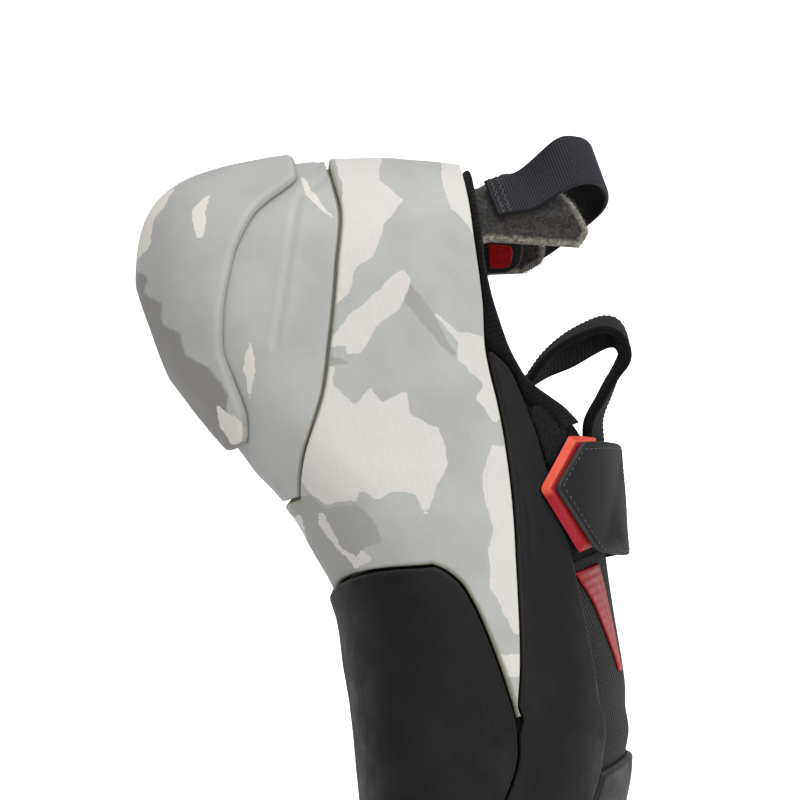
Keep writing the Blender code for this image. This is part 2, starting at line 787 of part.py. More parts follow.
def ear(around, t):
    """Middle of the felt, from its foot inside the collar to its top edge."""
    depth = -UPPER_WALL - EAR_GAP - FELT_THICK / 2
    brim = up_at(around, COLLAR_LINE)
    foot = surface(around, brim - EAR_FOOT, depth)
    base = surface(around, brim, depth) + Vector((0, 0, EAR_RISE))
    if t < 0:
        return mix(base, foot, -t)
    top = framed(base.x * EAR_PINCH, EAR_Y(around), EAR_Z(around))
    return mix(base, top, t)


def make_heel_tab():
    """Felt that stands up inside the back of the collar, in two ears."""
    spots = [mix(EAR_TOP[0][0], EAR_TOP[-1][0], k / EAR_STEPS)
             for k in range(EAR_STEPS + 1)]
    grid = [[ear(u, t) for t in EAR_LEVELS] for u in spots]
    return paint(sheet('heel_tab', grid, FELT_THICK), (0.060, 0.060, 0.062), 0.95)


def make_pull_loop():
    """Webbing from the near ear over to the far one."""
    off = FELT_THICK / 2 + GAP + WEBBING_THICK / 2
    path = []

    def on_ear(around, t):
        middle = ear(around, t)
        across = (ear(around + PROBE, t) - ear(around - PROBE, t)).normalized()
        rise = (ear(around, t + PROBE) - ear(around, t - PROBE)).normalized()
        out = across.cross(rise)
        if out.x * around < 0:
            out = -out
        across.z = 0
        across = across.normalized() * math.copysign(1, across.y)
        path.append((middle + out * off, across))

    for t in LOOP_NEAR_LEG:
        on_ear(LOOP_NEAR, t)
    for x, y, z in LOOP_ARCH:
        path.append((framed(x * BALL_WIDTH, y, z), Vector((0, 1, 0))))
    for t in LOOP_FAR_LEG:
        on_ear(LOOP_FAR, t)
    grid = [[middle + across * WEBBING_WIDTH * w for w in (-0.5, 0.0, 0.5)]
            for middle, across in path]
    return paint(sheet('pull_loop', grid, WEBBING_THICK), (0.015, 0.017, 0.022), 0.8)


def make_all():
    make_upper()
    make_insole()
    make_outsole()
    make_heel_cup()
    make_heel_sole()
    make_heel_rand()
    make_side_rand()
    make_toe_patch()
    make_binding()
    make_loop_pad()
    make_stripe()
    make_strap()
    make_strap_tab()
    make_tongue()
    make_heel_tab()
    make_pull_loop()


for old in list(bpy.data.objects):
    bpy.data.objects.remove(old)
SHOE = bpy.data.collections.new('climbing_shoe')
bpy.context.scene.collection.children.link(SHOE)
make_all()
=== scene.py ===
import math

import bpy
import numpy as np
from mathutils import Matrix, Vector
from mathutils.kdtree import KDTree


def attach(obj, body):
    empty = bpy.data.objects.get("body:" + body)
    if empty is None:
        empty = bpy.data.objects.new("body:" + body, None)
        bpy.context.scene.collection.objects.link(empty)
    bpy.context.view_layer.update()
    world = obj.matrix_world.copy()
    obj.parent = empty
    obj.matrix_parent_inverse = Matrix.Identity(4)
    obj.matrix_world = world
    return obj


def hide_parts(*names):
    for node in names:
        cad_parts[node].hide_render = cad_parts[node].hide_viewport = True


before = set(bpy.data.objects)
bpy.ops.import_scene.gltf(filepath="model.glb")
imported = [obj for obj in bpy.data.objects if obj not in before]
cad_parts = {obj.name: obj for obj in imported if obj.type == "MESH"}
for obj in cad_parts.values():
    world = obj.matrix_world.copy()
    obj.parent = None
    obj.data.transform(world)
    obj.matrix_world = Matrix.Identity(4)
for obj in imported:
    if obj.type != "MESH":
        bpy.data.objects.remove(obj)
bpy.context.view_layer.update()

# Driving sizes of the last
LENGTH = 0.250
BALL_WIDTH = 0.0875
INSTEP_HEIGHT = 0.102
ARCH_RISE = 0.0203
HEEL_REACH = 0.046
TOE_REACH = 0.029
HEEL_REST = 0.0335
REST_STACK = 0.0036

# Walls and layers
UPPER_WALL = 0.0020
GAP = 0.0003
EDGE_GAP = 0.00045
CUP_THICK = 0.0020
RAND_THICK = 0.0026
SIDE_RAND_THICK = 0.0018
OUTSOLE_THICK = 0.0044
OUTSOLE_SIDE_THICK = 0.0022
HEEL_PATCH_THICK = 0.0022
INSOLE_THICK = 0.0018
BINDING_THICK = 0.0016
BINDING_WIDTH = 0.0050
PAD_THICK = 0.0012
STRIPE_THICK = 0.0008
TAB_THICK = 0.0014
STRAP_THICK = 0.0018
FELT_THICK = 0.0030
TONGUE_WALL = 0.0018
WEBBING_WIDTH = 0.0130
WEBBING_THICK = 0.0014

# Centres round which the heel and toe sections turn
HEEL_CENTRE = 0.200
TOE_CENTRE = 0.872
FAN_POWER = 2.2
TOE_LATERAL_POWER = 1.45

# Sections: share of length, centre shift, lateral and medial half widths,
# height of the widest line, lower and upper superellipse powers
SECTIONS = (
    (0.200, 0.000, 0.337, 0.337, 0.235, 2.3, 2.00),
    (0.300, 0.006, 0.354, 0.337, 0.206, 2.2, 2.00),
    (0.400, 0.011, 0.389, 0.354, 0.216, 2.2, 1.95),
    (0.500, 0.006, 0.440, 0.400, 0.225, 2.4, 1.95),
    (0.600, -0.011, 0.491, 0.451, 0.225, 2.7, 2.00),
    (0.690, -0.046, 0.520, 0.480, 0.196, 3.0, 2.10),
    (0.780, -0.091, 0.480, 0.440, 0.157, 3.0, 2.20),
    (0.872, -0.149, 0.354, 0.354, 0.133, 2.8, 2.20),
)
BACK_WIDEST, BACK_LOWER_POWER, BACK_UPPER_POWER = 0.232, 2.3, 1.75
TIP_WIDEST, TIP_LOWER_POWER, TIP_UPPER_POWER = 0.093, 2.4, 2.0

# Underside: share of length, share of the arch rise
UNDERSIDE = (
    (0.000, -0.177), (0.048, -0.138), (0.096, -0.113), (0.128, -0.054),
    (0.160, -0.005), (0.200, 0.133), (0.240, 0.286), (0.272, 0.438),
    (0.300, 0.547), (0.328, 0.690), (0.364, 0.847), (0.400, 0.916),
    (0.448, 1.000), (0.472, 0.990), (0.520, 0.880), (0.588, 0.700),
    (0.680, 0.410), (0.760, 0.160), (0.820, 0.015), (0.872, 0.000),
    (0.928, 0.005), (0.988, 0.190),
)

# Ridge over the foot and edges in side view: share of length, of height
RIDGE = (
    (0.000, 1.000), (0.096, 1.078), (0.200, 1.100), (0.300, 1.045),
    (0.360, 0.980), (0.400, 0.949), (0.448, 0.917), (0.500, 0.880),
    (0.560, 0.849), (0.628, 0.818), (0.684, 0.781), (0.740, 0.711),
    (0.800, 0.613), (0.860, 0.490), (0.920, 0.358), (0.960, 0.265),
    (0.988, 0.196),
)
CUP_EDGE = (
    (0.030, 0.550), (0.080, 0.544), (0.140, 0.485), (0.210, 0.404),
    (0.250, 0.354), (0.280, 0.302), (0.304, 0.262), (0.325, 0.239),
    (0.344, 0.225),
)
HEEL_RAND_TOP = (
    (0.080, 0.861), (0.120, 0.850), (0.160, 0.829), (0.220, 0.796),
    (0.272, 0.759), (0.320, 0.744), (0.388, 0.711), (0.436, 0.681),
    (0.475, 0.651), (0.550, 0.593), (0.580, 0.566), (0.610, 0.534),
)
OUTSOLE_TOP = (
    (0.438, 0.410), (0.448, 0.452), (0.462, 0.488), (0.482, 0.512),
    (0.520, 0.524), (0.560, 0.526),
    (0.610, 0.522), (0.650, 0.500), (0.700, 0.410), (0.740, 0.290),
    (0.780, 0.200), (0.820, 0.155), (0.872, 0.138), (0.930, 0.138),
    (0.990, 0.145),
)
SIDE_RAND_TOP = (
    (0.262, 0.764), (0.272, 0.778), (0.290, 0.800), (0.305, 0.806),
    (0.348, 0.808), (0.400, 0.801), (0.452, 0.793), (0.488, 0.782),
    (0.523, 0.770), (0.574, 0.751), (0.624, 0.731), (0.675, 0.705),
    (0.720, 0.635), (0.760, 0.545), (0.800, 0.455), (0.850, 0.360),
    (0.900, 0.290), (0.950, 0.235), (0.990, 0.200),
)
COLLAR = (
    (0.080, 0.891), (0.152, 0.858), (0.190, 0.835), (0.231, 0.824),
    (0.267, 0.822), (0.300, 0.831), (0.316, 0.847), (0.332, 0.873),
    (0.349, 0.900), (0.383, 0.928), (0.400, 0.932),
)
STRIPE_LOW = ((0.500, 0.775), (0.550, 0.800), (0.604, 0.804), (0.632, 0.800))
STRIPE_HIGH = ((0.500, 0.848), (0.545, 0.836), (0.586, 0.822), (0.632, 0.806))
STRAP_END = ((0.385, 0.879), (0.421, 0.783), (0.492, 0.815), (0.510, 0.880))
TAB_END = ((0.376, 0.870), (0.417, 0.760), (0.489, 0.792))
STRAP_SEAM = ((0.380, 0.840), (0.520, 0.800))

# Upper edge of the patch under the heel: place round the heel, height share
HEEL_PATCH_EDGE = (
    (0.00, 0.475), (0.22, 0.470), (0.36, 0.340), (0.50, 0.262), (0.75, 0.190),
    (0.90, 0.172), (1.00, 0.174), (1.06, 0.178), (1.09, 0.168), (1.11, 0.150),
)

# Places along the shoe, shares of length
CUP_FRONT = 0.344
OUTSOLE_REAR = 0.440
OUTSOLE_BOW = 0.017
RAND_TIP = 0.608
SPLIT_RISE = 1.6
SIDE_RAND_START = 0.272
THROAT_FRONT = 0.392
HEEL_PATCH_FRONT = 0.272
TOE_PATCH_REAR = 0.704
BINDING_FRONT = 0.364
PAD_START, PAD_FRONT = 0.340, 0.392
STRIPE_START, STRIPE_FRONT = 0.502, 0.628
STRAP_REAR, STRAP_FRONT = 0.400, 0.508
LASTING_MARGIN = 0.55
PLUG_EDGE, PLUG_STEP, INSOLE_EDGE = 0.525, 0.535, 0.70

# Tongue: its seam, then its fold: y, z, edge flare, edge drop, width, and how
# far the inner edge alone leans forward
TONGUE_SEAM = (0.424, 0.408, 0.394)
TONGUE_SIDE = 1.76
TONGUE_LIFT = 0.0013
TONGUE_PATH = (
    (0.372, 0.985, 0.000, 0.035, 1.05, 0.000),
    (0.350, 1.030, 0.004, 0.030, 1.20, 0.000),
    (0.328, 1.072, 0.010, 0.025, 1.35, 0.000),
    (0.312, 1.099, 0.016, 0.015, 1.45, 0.002),
    (0.298, 1.109, 0.018, 0.012, 1.50, 0.004),
    (0.286, 1.105, 0.016, 0.012, 1.50, 0.008),
    (0.279, 1.085, 0.013, 0.012, 1.50, 0.014),
    (0.277, 1.050, 0.010, 0.012, 1.50, 0.020),
    (0.281, 0.976, 0.007, 0.010, 1.45, 0.024),
    (0.292, 0.905, 0.005, 0.008, 1.40, 0.016),
    (0.310, 0.840, 0.004, 0.004, 1.30, 0.004),
)

# Felt at the heel: place round the heel, y and z shares of its top edge
EAR_TOP = (
    (-0.95, 0.205, 0.930), (-0.80, 0.200, 0.985), (-0.60, 0.176, 1.010),
    (-0.35, 0.134, 0.972), (0.00, 0.108, 0.975), (0.30, 0.128, 1.050),
    (0.50, 0.160, 1.100), (0.62, 0.188, 1.110), (0.70, 0.202, 1.073),
)
EAR_GAP = 0.0018
EAR_FOOT = 0.05
EAR_RISE = 0.0035
EAR_PINCH = 0.92
LOOP_NEAR, LOOP_FAR = 0.36, -0.62
LOOP_NEAR_LEG = (0.12, 0.38, 0.65)
LOOP_FAR_LEG = (0.85, 0.60, 0.30)
LOOP_ARCH = (
    (0.150, 0.116, 1.110), (0.105, 0.120, 1.165), (0.020, 0.131, 1.190),
    (-0.080, 0.145, 1.180), (-0.160, 0.155, 1.130),
)

# The lattice that the pieces' ends sit on
HEEL_STEPS, SIDE_STEPS, TOE_STEPS, FINE_STEPS = 8, 24, 7, (1, 8)

# Fine meshes: rows lie this many times closer together near an edge
EDGE_ZONE = 0.0014
EDGE_MORE = 3.5
WELD = 1e-6


def mix(a, b, t):
    return a + (b - a) * t


def unit(vectors):
    """Vectors of length 1 in the same directions."""
    return vectors / np.maximum(np.linalg.norm(vectors, axis=-1, keepdims=True), 1e-12)


def facing(grid):
    """Directions square to a grid of points, of no set length."""
    return np.cross(np.gradient(grid, axis=1), np.gradient(grid, axis=0))


def smooth(low, high, value):
    """0 below low, 1 above high, and an even S between."""
    t = np.clip((value - low) / (high - low), 0, 1)
    return t * t * (3 - 2 * t)


def curve(rows, column=1):
    """A smooth monotone curve through one column of a table of shares."""
    xs = np.array([row[0] for row in rows], float)
    ys = np.array([row[column] for row in rows], float)
    steps = np.diff(xs)
    slopes = np.diff(ys) / steps
    product = slopes[:-1] * slopes[1:]
    total = np.where(product > 0, slopes[:-1] + slopes[1:], 1.0)
    inner = np.where(product > 0, 2 * product / total, 0.0)
    tangents = np.concatenate((slopes[:1], inner, slopes[-1:]))

    def value(x):
        x = np.clip(x, xs[0], xs[-1])
        i = np.clip(np.searchsorted(xs, x) - 1, 0, len(steps) - 1)
        h = steps[i]
        t = (x - xs[i]) / h
        return ((2 * t**3 - 3 * t**2 + 1) * ys[i]
                + (t**3 - 2 * t**2 + t) * h * tangents[i]
                + (3 * t**2 - 2 * t**3) * ys[i + 1]
                + (t**3 - t**2) * h * tangents[i + 1])
    return value


def straight(rows, soft=0.006):
    """Straight runs through a table of shares, with slightly soft corners."""
    xs = np.array([row[0] for row in rows], float)
    ys = np.array([row[1] for row in rows], float)

    def value(x):
        spread = soft * np.linspace(-0.5, 0.5, 9)
        samples = [np.interp(np.clip(x + s, xs[0], xs[-1]), xs, ys) for s in spread]
        inside = np.minimum(x - xs[0], xs[-1] - x) / soft
        plain = np.interp(x, xs, ys)
        return mix(plain, np.mean(samples, axis=0), np.clip(inside, 0, 1))
    return value


SHIFT, LATERAL, MEDIAL, WIDEST, LOWER_POWER, UPPER_POWER = (
    curve(SECTIONS, column) for column in range(1, 7))
UNDER, OVER = curve(UNDERSIDE), curve(RIDGE)


def underside(y):
    return REST_STACK + ARCH_RISE * UNDER(y / LENGTH)


def ridge(y):
    return INSTEP_HEIGHT * OVER(y / LENGTH)


def place(share):
    """The place round the outline at a share of the length."""
    return 1 + (share - HEEL_CENTRE) / (TOE_CENTRE - HEEL_CENTRE)


def last_point(around, up):
    """Points of the last, measured from the back of the heel."""
    around, up = np.broadcast_arrays(np.asarray(around, float), np.asarray(up, float))
    around = np.where(np.abs(around) > 3, around - np.copysign(6, around), around)
    side = np.where(around < 0, -1.0, 1.0)
    u = np.abs(around)
    heel, toe = u <= 1, u > 2
    along_side = mix(HEEL_CENTRE, TOE_CENTRE, u - 1)
    share = np.where(heel, HEEL_CENTRE, np.where(toe, TOE_CENTRE, along_side))
    turn = np.where(heel, u, np.where(toe, 3 - u, 1.0)) * np.pi / 2
    sine, cosine = np.sin(turn), np.cos(turn)
    half = np.where(side > 0, LATERAL(share), MEDIAL(share)) * BALL_WIDTH
    reach = np.where(heel, HEEL_REACH, TOE_REACH)
    power = np.where(toe & (side > 0), TOE_LATERAL_POWER, FAN_POWER)
    width = (np.abs(sine / half)**power + np.abs(cosine / reach)**power)**(-1 / power)

    def blended(back, tip, table):
        return mix(np.where(heel, back, tip), table(share), sine**2)

    lower = blended(BACK_LOWER_POWER, TIP_LOWER_POWER, LOWER_POWER)
    upper = blended(BACK_UPPER_POWER, TIP_UPPER_POWER, UPPER_POWER)
    lengthwise = np.where(heel, -cosine, cosine)
    middle = share * LENGTH
    line = (underside(middle + lengthwise * width)
            + blended(BACK_WIDEST, TIP_WIDEST, WIDEST) * INSTEP_HEIGHT)
    low = up <= 1
    angle = np.where(low, up, up - 1) * np.pi / 2
    rise, fall = np.sin(angle), np.maximum(np.cos(angle), 0)
    out = np.where(low, rise**(2 / lower), fall**(2 / upper)) * width
    y = middle + lengthwise * out
    z = np.where(low, mix(line, underside(y), fall**(2 / lower)),
                 line + (ridge(y) - line) * rise**(2 / upper))
    return np.stack((SHIFT(share) * BALL_WIDTH + side * sine * out, y, z), -1)


def normal(around, up):
    """Outward directions of the last surface."""
    step = 0.004
    around, up = np.broadcast_arrays(np.asarray(around, float), np.asarray(up, float))
    spot = last_point(around, up)
    across = last_point(around + step, up) - last_point(around - step, up)
    rise = (last_point(around, np.minimum(up + step, 2))
            - last_point(around, np.maximum(up - step, 0)))
    out = np.cross(across, rise)
    y = spot[..., 1]
    u = np.abs(around)
    share = np.clip(mix(HEEL_CENTRE, TOE_CENTRE, u - 1), HEEL_CENTRE, TOE_CENTRE)
    centre = np.stack((SHIFT(share) * BALL_WIDTH,
                       np.where((u >= 1) & (u <= 2), y, share * LENGTH),
                       (underside(y) + ridge(y)) / 2), -1)
    inward = np.sum(out * (spot - centre), -1) < 0
    out = np.where(inward[..., None], -out, out)
    reach = step * 0.1
    for line, at_end, sign in ((underside, up < step, -1), (ridge, up > 2 - step, 1)):
        slope = (line(y + reach) - line(y - reach)) / (2 * reach)
        flat = np.stack((0 * y, -slope, 0 * y + 1), -1) * sign
        out = np.where(at_end[..., None], flat, out)
    return unit(out)


def framed(points):
    """Points measured from the back of the heel, in the shoe's own frame."""
    return points - np.array((0, HEEL_REST, 0))


def surface(around, up, out=0.0):
    return framed(last_point(around, up) + normal(around, up) * out)


def up_at(around, edge, lift=0.0):
    """How far up the section an edge drawn in side view lies."""
    around = np.asarray(around, float)
    low, high = np.zeros(around.shape), np.full(around.shape, 2.0)
    for _ in range(40):
        middle = (low + high) / 2
        point = last_point(around, middle)
        under = point[..., 2] < INSTEP_HEIGHT * edge(point[..., 1] / LENGTH) + lift
        low, high = np.where(under, middle, low), np.where(under, high, middle)
    return (low + high) / 2


LATTICE = sorted(
    {i / HEEL_STEPS for i in range(HEEL_STEPS + 1)}
    | {1 + i / SIDE_STEPS for i in range(SIDE_STEPS + 1)}
    | {1 + (i + 0.5) / SIDE_STEPS for i in range(*FINE_STEPS)}
    | {2 + i / TOE_STEPS for i in range(TOE_STEPS + 1)})


def seat(share):
    """The place of the model's lattice nearest to a share of the length."""
    return min(LATTICE, key=lambda u: abs(u - place(share)))


COLLAR_LINE, CUP_LINE = curve(COLLAR), curve(CUP_EDGE)
HEEL_RAND_LINE, OUTSOLE_LINE = curve(HEEL_RAND_TOP), curve(OUTSOLE_TOP)
SIDE_RAND_LINE, HEEL_PATCH_LINE = curve(SIDE_RAND_TOP), curve(HEEL_PATCH_EDGE)
STRAP_LINE, TAB_LINE = straight(STRAP_END), straight(TAB_END)
EAR_Y, EAR_Z = curve(EAR_TOP, 1), curve(EAR_TOP, 2)
TAB_LIFT = GAP + max(BINDING_THICK, SIDE_RAND_THICK, TONGUE_WALL) + 2 * GAP
STRAP_LIFT = TAB_LIFT + TAB_THICK + 2 * GAP


def rubber_top(share):
    return np.maximum(HEEL_RAND_LINE(share), SIDE_RAND_LINE(share))


# Fibres: how many, and their radii from root to tip
PILE_COUNT, PILE_RADII = 2600, (0.00007, 0.00006, 0.00005, 0.00003)
FELT_COUNT, FELT_RADII = 2400, (0.00005, 0.00005, 0.00004, 0.00002)

# Steps along the felt that give its directions at its rim and under the webbing
RIM_PROBE, LEG_PROBE = 0.01, 0.02

# Zigzag stitches of the webbing: where they start, how far they reach
ZIGZAG_STARTS, ZIGZAG_REACH, ZIGZAG_TURNS = (0.0012, 0.0030), 0.0008, 17


# Grids of places on the last


def run_lengths(points):
    """Length along rows of points, from their first one."""
    steps = np.linalg.norm(np.diff(points, axis=-2), axis=-1)
    start = np.zeros(steps.shape[:-1] + (1,))
    return np.concatenate((start, np.cumsum(steps, axis=-1)), axis=-1)


def spaced(length, count, first=True, last=True):
    """Shares of a length, closer together near the ends that are edges."""
    x = np.linspace(0, 1, 301)
    near = length / EDGE_ZONE
    density = 1 + EDGE_MORE * (first * np.exp(-x * near) + last * np.exp((x - 1) * near))
    total = np.concatenate(([0], np.cumsum((density[1:] + density[:-1]) / 2)))
    return np.interp(np.linspace(0, total[-1], count + 1), total, x)


def along(start, end, step, first=False, last=False):
    """Places round the outline, evenly spaced at its widest line."""
    fine = np.linspace(start, end, 500)
    run = run_lengths(last_point(fine, 1.0))
    count = max(round(run[-1] / step), 3)
    return np.interp(spaced(run[-1], count, first, last) * run[-1], run, fine)


def block(us, low, high, step, first=True, last=True, count=None):
    """A grid between two edges: around, up and length from the low edge."""
    us = np.asarray(us, float)
    low, high = np.broadcast_to(low, us.shape), np.broadcast_to(high, us.shape)
    ups = mix(low[:, None], high[:, None], np.linspace(0, 1, 61))
    run = run_lengths(last_point(us[:, None], ups))
    count = count or max(round(run[:, -1].max() / step), 3)
    length = np.array([spaced(r[-1], count, first, last) * r[-1] for r in run])
    up = np.array([np.interp(s, r, v) for s, r, v in zip(length, run, ups)])
    return np.repeat(us[:, None], count + 1, axis=1), up, length


def on_both_sides(blocks):
    return blocks + [(-u, v, s) for u, v, s in blocks]


def grid_quads(height, width):
    index = np.arange(height * width).reshape(height, width)
    return np.stack((index[:-1, :-1], index[1:, :-1], index[1:, 1:], index[:-1, 1:]),
                    -1).reshape(-1, 4)


def rim_of(quads, points):
    """Which points lie on the open edge, and every point's distance to it."""
    pairs = np.concatenate([quads[:, [i, (i + 1) % 4]] for i in range(4)])
    pairs = np.sort(pairs[pairs[:, 0] != pairs[:, 1]], axis=1)
    edges, uses = np.unique(pairs, axis=0, return_counts=True)
    edges = edges[uses == 1]
    rim = np.zeros(len(points), bool)
    rim[edges.ravel()] = True
    a, b = points[edges[:, 0]], points[edges[:, 1]]
    samples = np.concatenate([mix(a, b, t) for t in np.arange(0, 1, 0.2)])
    tree = KDTree(len(samples))
    for i, sample in enumerate(samples):
        tree.insert(sample, i)
    tree.balance()
    distance = np.array([tree.find(point)[2] for point in points])
    distance[rim] = 0.0
    return rim, distance


def rolled(distance, radius):
    """Height share of an edge that is rounded over a radius."""
    return np.sqrt(1 - (1 - np.clip(distance / radius, 0, 1))**2)


def to_object(name, points, faces, looks, values=None, node=None):
    """A mesh object that rides on the shoe, and the node that it stands for."""
    mesh = bpy.data.meshes.new(name)
    mesh.from_pydata(points.tolist(), [], faces)
    mesh.shade_smooth()
    for key, value in (values or {}).items():
        attribute = mesh.attributes.new(key, 'FLOAT', 'POINT')
        attribute.data.foreach_set('value', np.asarray(value, np.float32))
    for look in looks:
        mesh.materials.append(look)
    thing = bpy.data.objects.new(name, mesh)
    bpy.context.scene.collection.objects.link(thing)
    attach(thing, "root")
    if node:
        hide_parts(node)
    return thing


def closed(name, base, normals, quads, above, below, rim, looks, values, node):
    """A closed piece between two heights over a base, joined at its rim."""
    inner = np.flatnonzero(~rim)
    lower = np.arange(len(base))
    lower[inner] = len(base) + np.arange(len(inner))
    under = (base + normals * below[:, None])[inner]
    points = np.concatenate((base + normals * above[:, None], under))
    faces = np.concatenate((quads, lower[quads][:, ::-1]))
    values = {key: np.concatenate((v, v[inner])) for key, v in values.items()}
    faces = [list(dict.fromkeys(face)) for face in faces.tolist()]
    thing = to_object(name, points, faces, looks, values, node)
    if len(looks) > 1:
        index = np.repeat((0, 1), len(quads)).astype(np.int32)
        thing.data.polygons.foreach_set('material_index', index)


class Spots:
    """Places of a layer with what its relief may depend on."""

    def __init__(self, blocks):
        start, quads = 0, []
        for u, v, s in blocks:
            quads.append(grid_quads(*u.shape) + start)
            start += u.size
        around, up, length = (
            np.concatenate([b[k].ravel() for b in blocks]) for k in range(3))
        points = last_point(around, up)
        keys = np.round(points / WELD).astype(np.int64)
        _, first, back = np.unique(keys, axis=0, return_index=True,
                                   return_inverse=True)
        quads = back.reshape(-1)[np.concatenate(quads)]
        self.around, self.up, self.length = around[first], up[first], length[first]
        self.points = points[first]
        self.normals = normal(self.around, self.up)
        self.side = np.where(self.points[:, 0] >= SHIFT(self.points[:, 1] / LENGTH)
                             * BALL_WIDTH, 1.0, -1.0)
        corners = self.points[quads]
        turn = np.cross(corners[:, 2] - corners[:, 0], corners[:, 3] - corners[:, 1])
        wrong = np.sum(turn * self.normals[quads].sum(axis=1), axis=1) < 0
        quads[wrong] = quads[wrong][:, ::-1]
        self.quads = quads[np.linalg.norm(turn, axis=1) > 1e-14]
        self.rim, self.edge = rim_of(self.quads, self.points)

    def distance_to(self, path):
        """Distance in side view to a line through a table of shares."""
        here = self.points[:, 1:]
        line = smooth_line(np.array(path) * (LENGTH, INSTEP_HEIGHT), 8)
        best = np.full(len(here), 1.0)
        for a, b in zip(line, line[1:]):
            run = b - a
            t = np.clip((here - a) @ run / (run @ run), 0, 1)
            gone = np.linalg.norm(here - a - t[:, None] * run, axis=1)
            best = np.minimum(best, gone)
        return best


def catmull(values, at):
    """Values along axis 0 of a table, read smoothly at places between rows."""
    values = np.asarray(values, float)
    ends = (2 * values[:1] - values[1:2], values, 2 * values[-1:] - values[-2:-1])
    padded = np.concatenate(ends)
    i = np.clip(np.floor(at).astype(int), 0, len(values) - 2)
    t = (at - i).reshape((-1,) + (1,) * (values.ndim - 1))
    a, b, c, d = (padded[i + k] for k in range(4))
    return 0.5 * (2 * b + (c - a) * t + (2 * a - 5 * b + 4 * c - d) * t**2
                  + (3 * b - a - 3 * c + d) * t**3)


def smooth_line(points, parts):
    points = np.asarray(points, float)
    if len(points) < 3:
        return points
    return catmull(points, np.linspace(0, len(points) - 1, parts * (len(points) - 1) + 1))


def noise_field(points, size, seed, octaves=3):
    """Smooth noise from -1 to 1 made of seeded waves, the same each run."""
    rng = np.random.default_rng(seed)
    total = np.zeros(len(points))
    for octave in range(octaves):
        for _ in range(6):
            direction = rng.normal(size=3)
            direction *= 2 * np.pi / (size * np.linalg.norm(direction)) * 2**octave
            total += np.sin(points @ direction + rng.uniform(0, 6.28)) / 2**octave / 3.5
    return total


# Soft folds: side (0 both), from and to in side view, width, depth in metres
FOLDS = (
    (1, (0.600, 0.640), (0.660, 0.800), 0.0034, -0.00050),
    (1, (0.645, 0.560), (0.700, 0.740), 0.0040, -0.00055),
    (1, (0.622, 0.600), (0.682, 0.770), 0.0026, 0.00030),
    (-1, (0.610, 0.620), (0.660, 0.800), 0.0034, -0.00050),
    (-1, (0.655, 0.560), (0.700, 0.740), 0.0040, -0.00055),
    (0, (0.300, 0.720), (0.330, 0.500), 0.0060, -0.00045),
    (0, (0.360, 0.690), (0.380, 0.420), 0.0050, 0.00025),
    (0, (0.120, 0.780), (0.260, 0.690), 0.0040, -0.00040),
    (0, (0.110, 0.700), (0.230, 0.640), 0.0036, 0.00025),
    (0, (0.470, 0.700), (0.560, 0.640), 0.0034, -0.00030),
    (0, (0.800, 0.560), (0.830, 0.300), 0.0036, -0.00030),
)


def groove(spots, path, depth, width):
    """Relief of a soft groove along a line drawn in side view."""
    return -depth * np.exp(-(spots.distance_to(path) / width)**2)


def folds(spots):
    """Height of the listed folds, shared by every layer of the shoe."""
    total = np.zeros(len(spots.points))
    for side, start, end, width, depth in FOLDS:
        fold = groove(spots, (start, end), -depth, width)
        if side:
            fold = fold * smooth(-0.008, 0.008, side * spots.points[:, 0])
        total += fold
    return total * smooth(0.010, 0.020, spots.points[:, 2])


# The least downward share of a normal along which the floor presses a layer in
LEAST_FALL = 0.2


def layer(name, spots, lift, thick, look, node, roll, relief=0.0, wave=None,
          floor=False, fields=None, inside=None):
    """A rounded layer on the last; wave gives the height, size and seed of dents."""
    ground = folds(spots)
    lift = np.broadcast_to(lift, spots.edge.shape)
    if wave:
        tall, size, seed = wave
        relief = relief + tall * noise_field(spots.points, size, seed)
    height = thick * rolled(spots.edge, roll) + relief * smooth(0, roll, spots.edge)
    above = ground + lift + height
    below = ground + lift
    base = framed(spots.points)
    if floor:
        low = (base + spots.normals * above[:, None])[:, 2]
        fall = np.minimum(spots.normals[:, 2], -LEAST_FALL)
        above = np.where(low < 0, above - low / fall, above)
    values = {'edge': spots.edge, **(fields or {})}
    looks = [look, inside] if inside else [look]
    closed(name, base, spots.normals, spots.quads, above, below, spots.rim, looks,
           values, node)


def both(us, low, high, step, **ends):
    """One block of places between two edges, on both sides of the shoe."""
    return Spots(on_both_sides([block(us, low, high, step, **ends)]))


# Materials


def srgb(red, green, blue):
    """A colour given as 0 to 255 display values."""
    values = np.array((red, green, blue)) / 255
    linear = np.where(values <= 0.04045, values / 12.92, ((values + 0.055) / 1.055)**2.4)
    return (*linear.tolist(), 1.0)


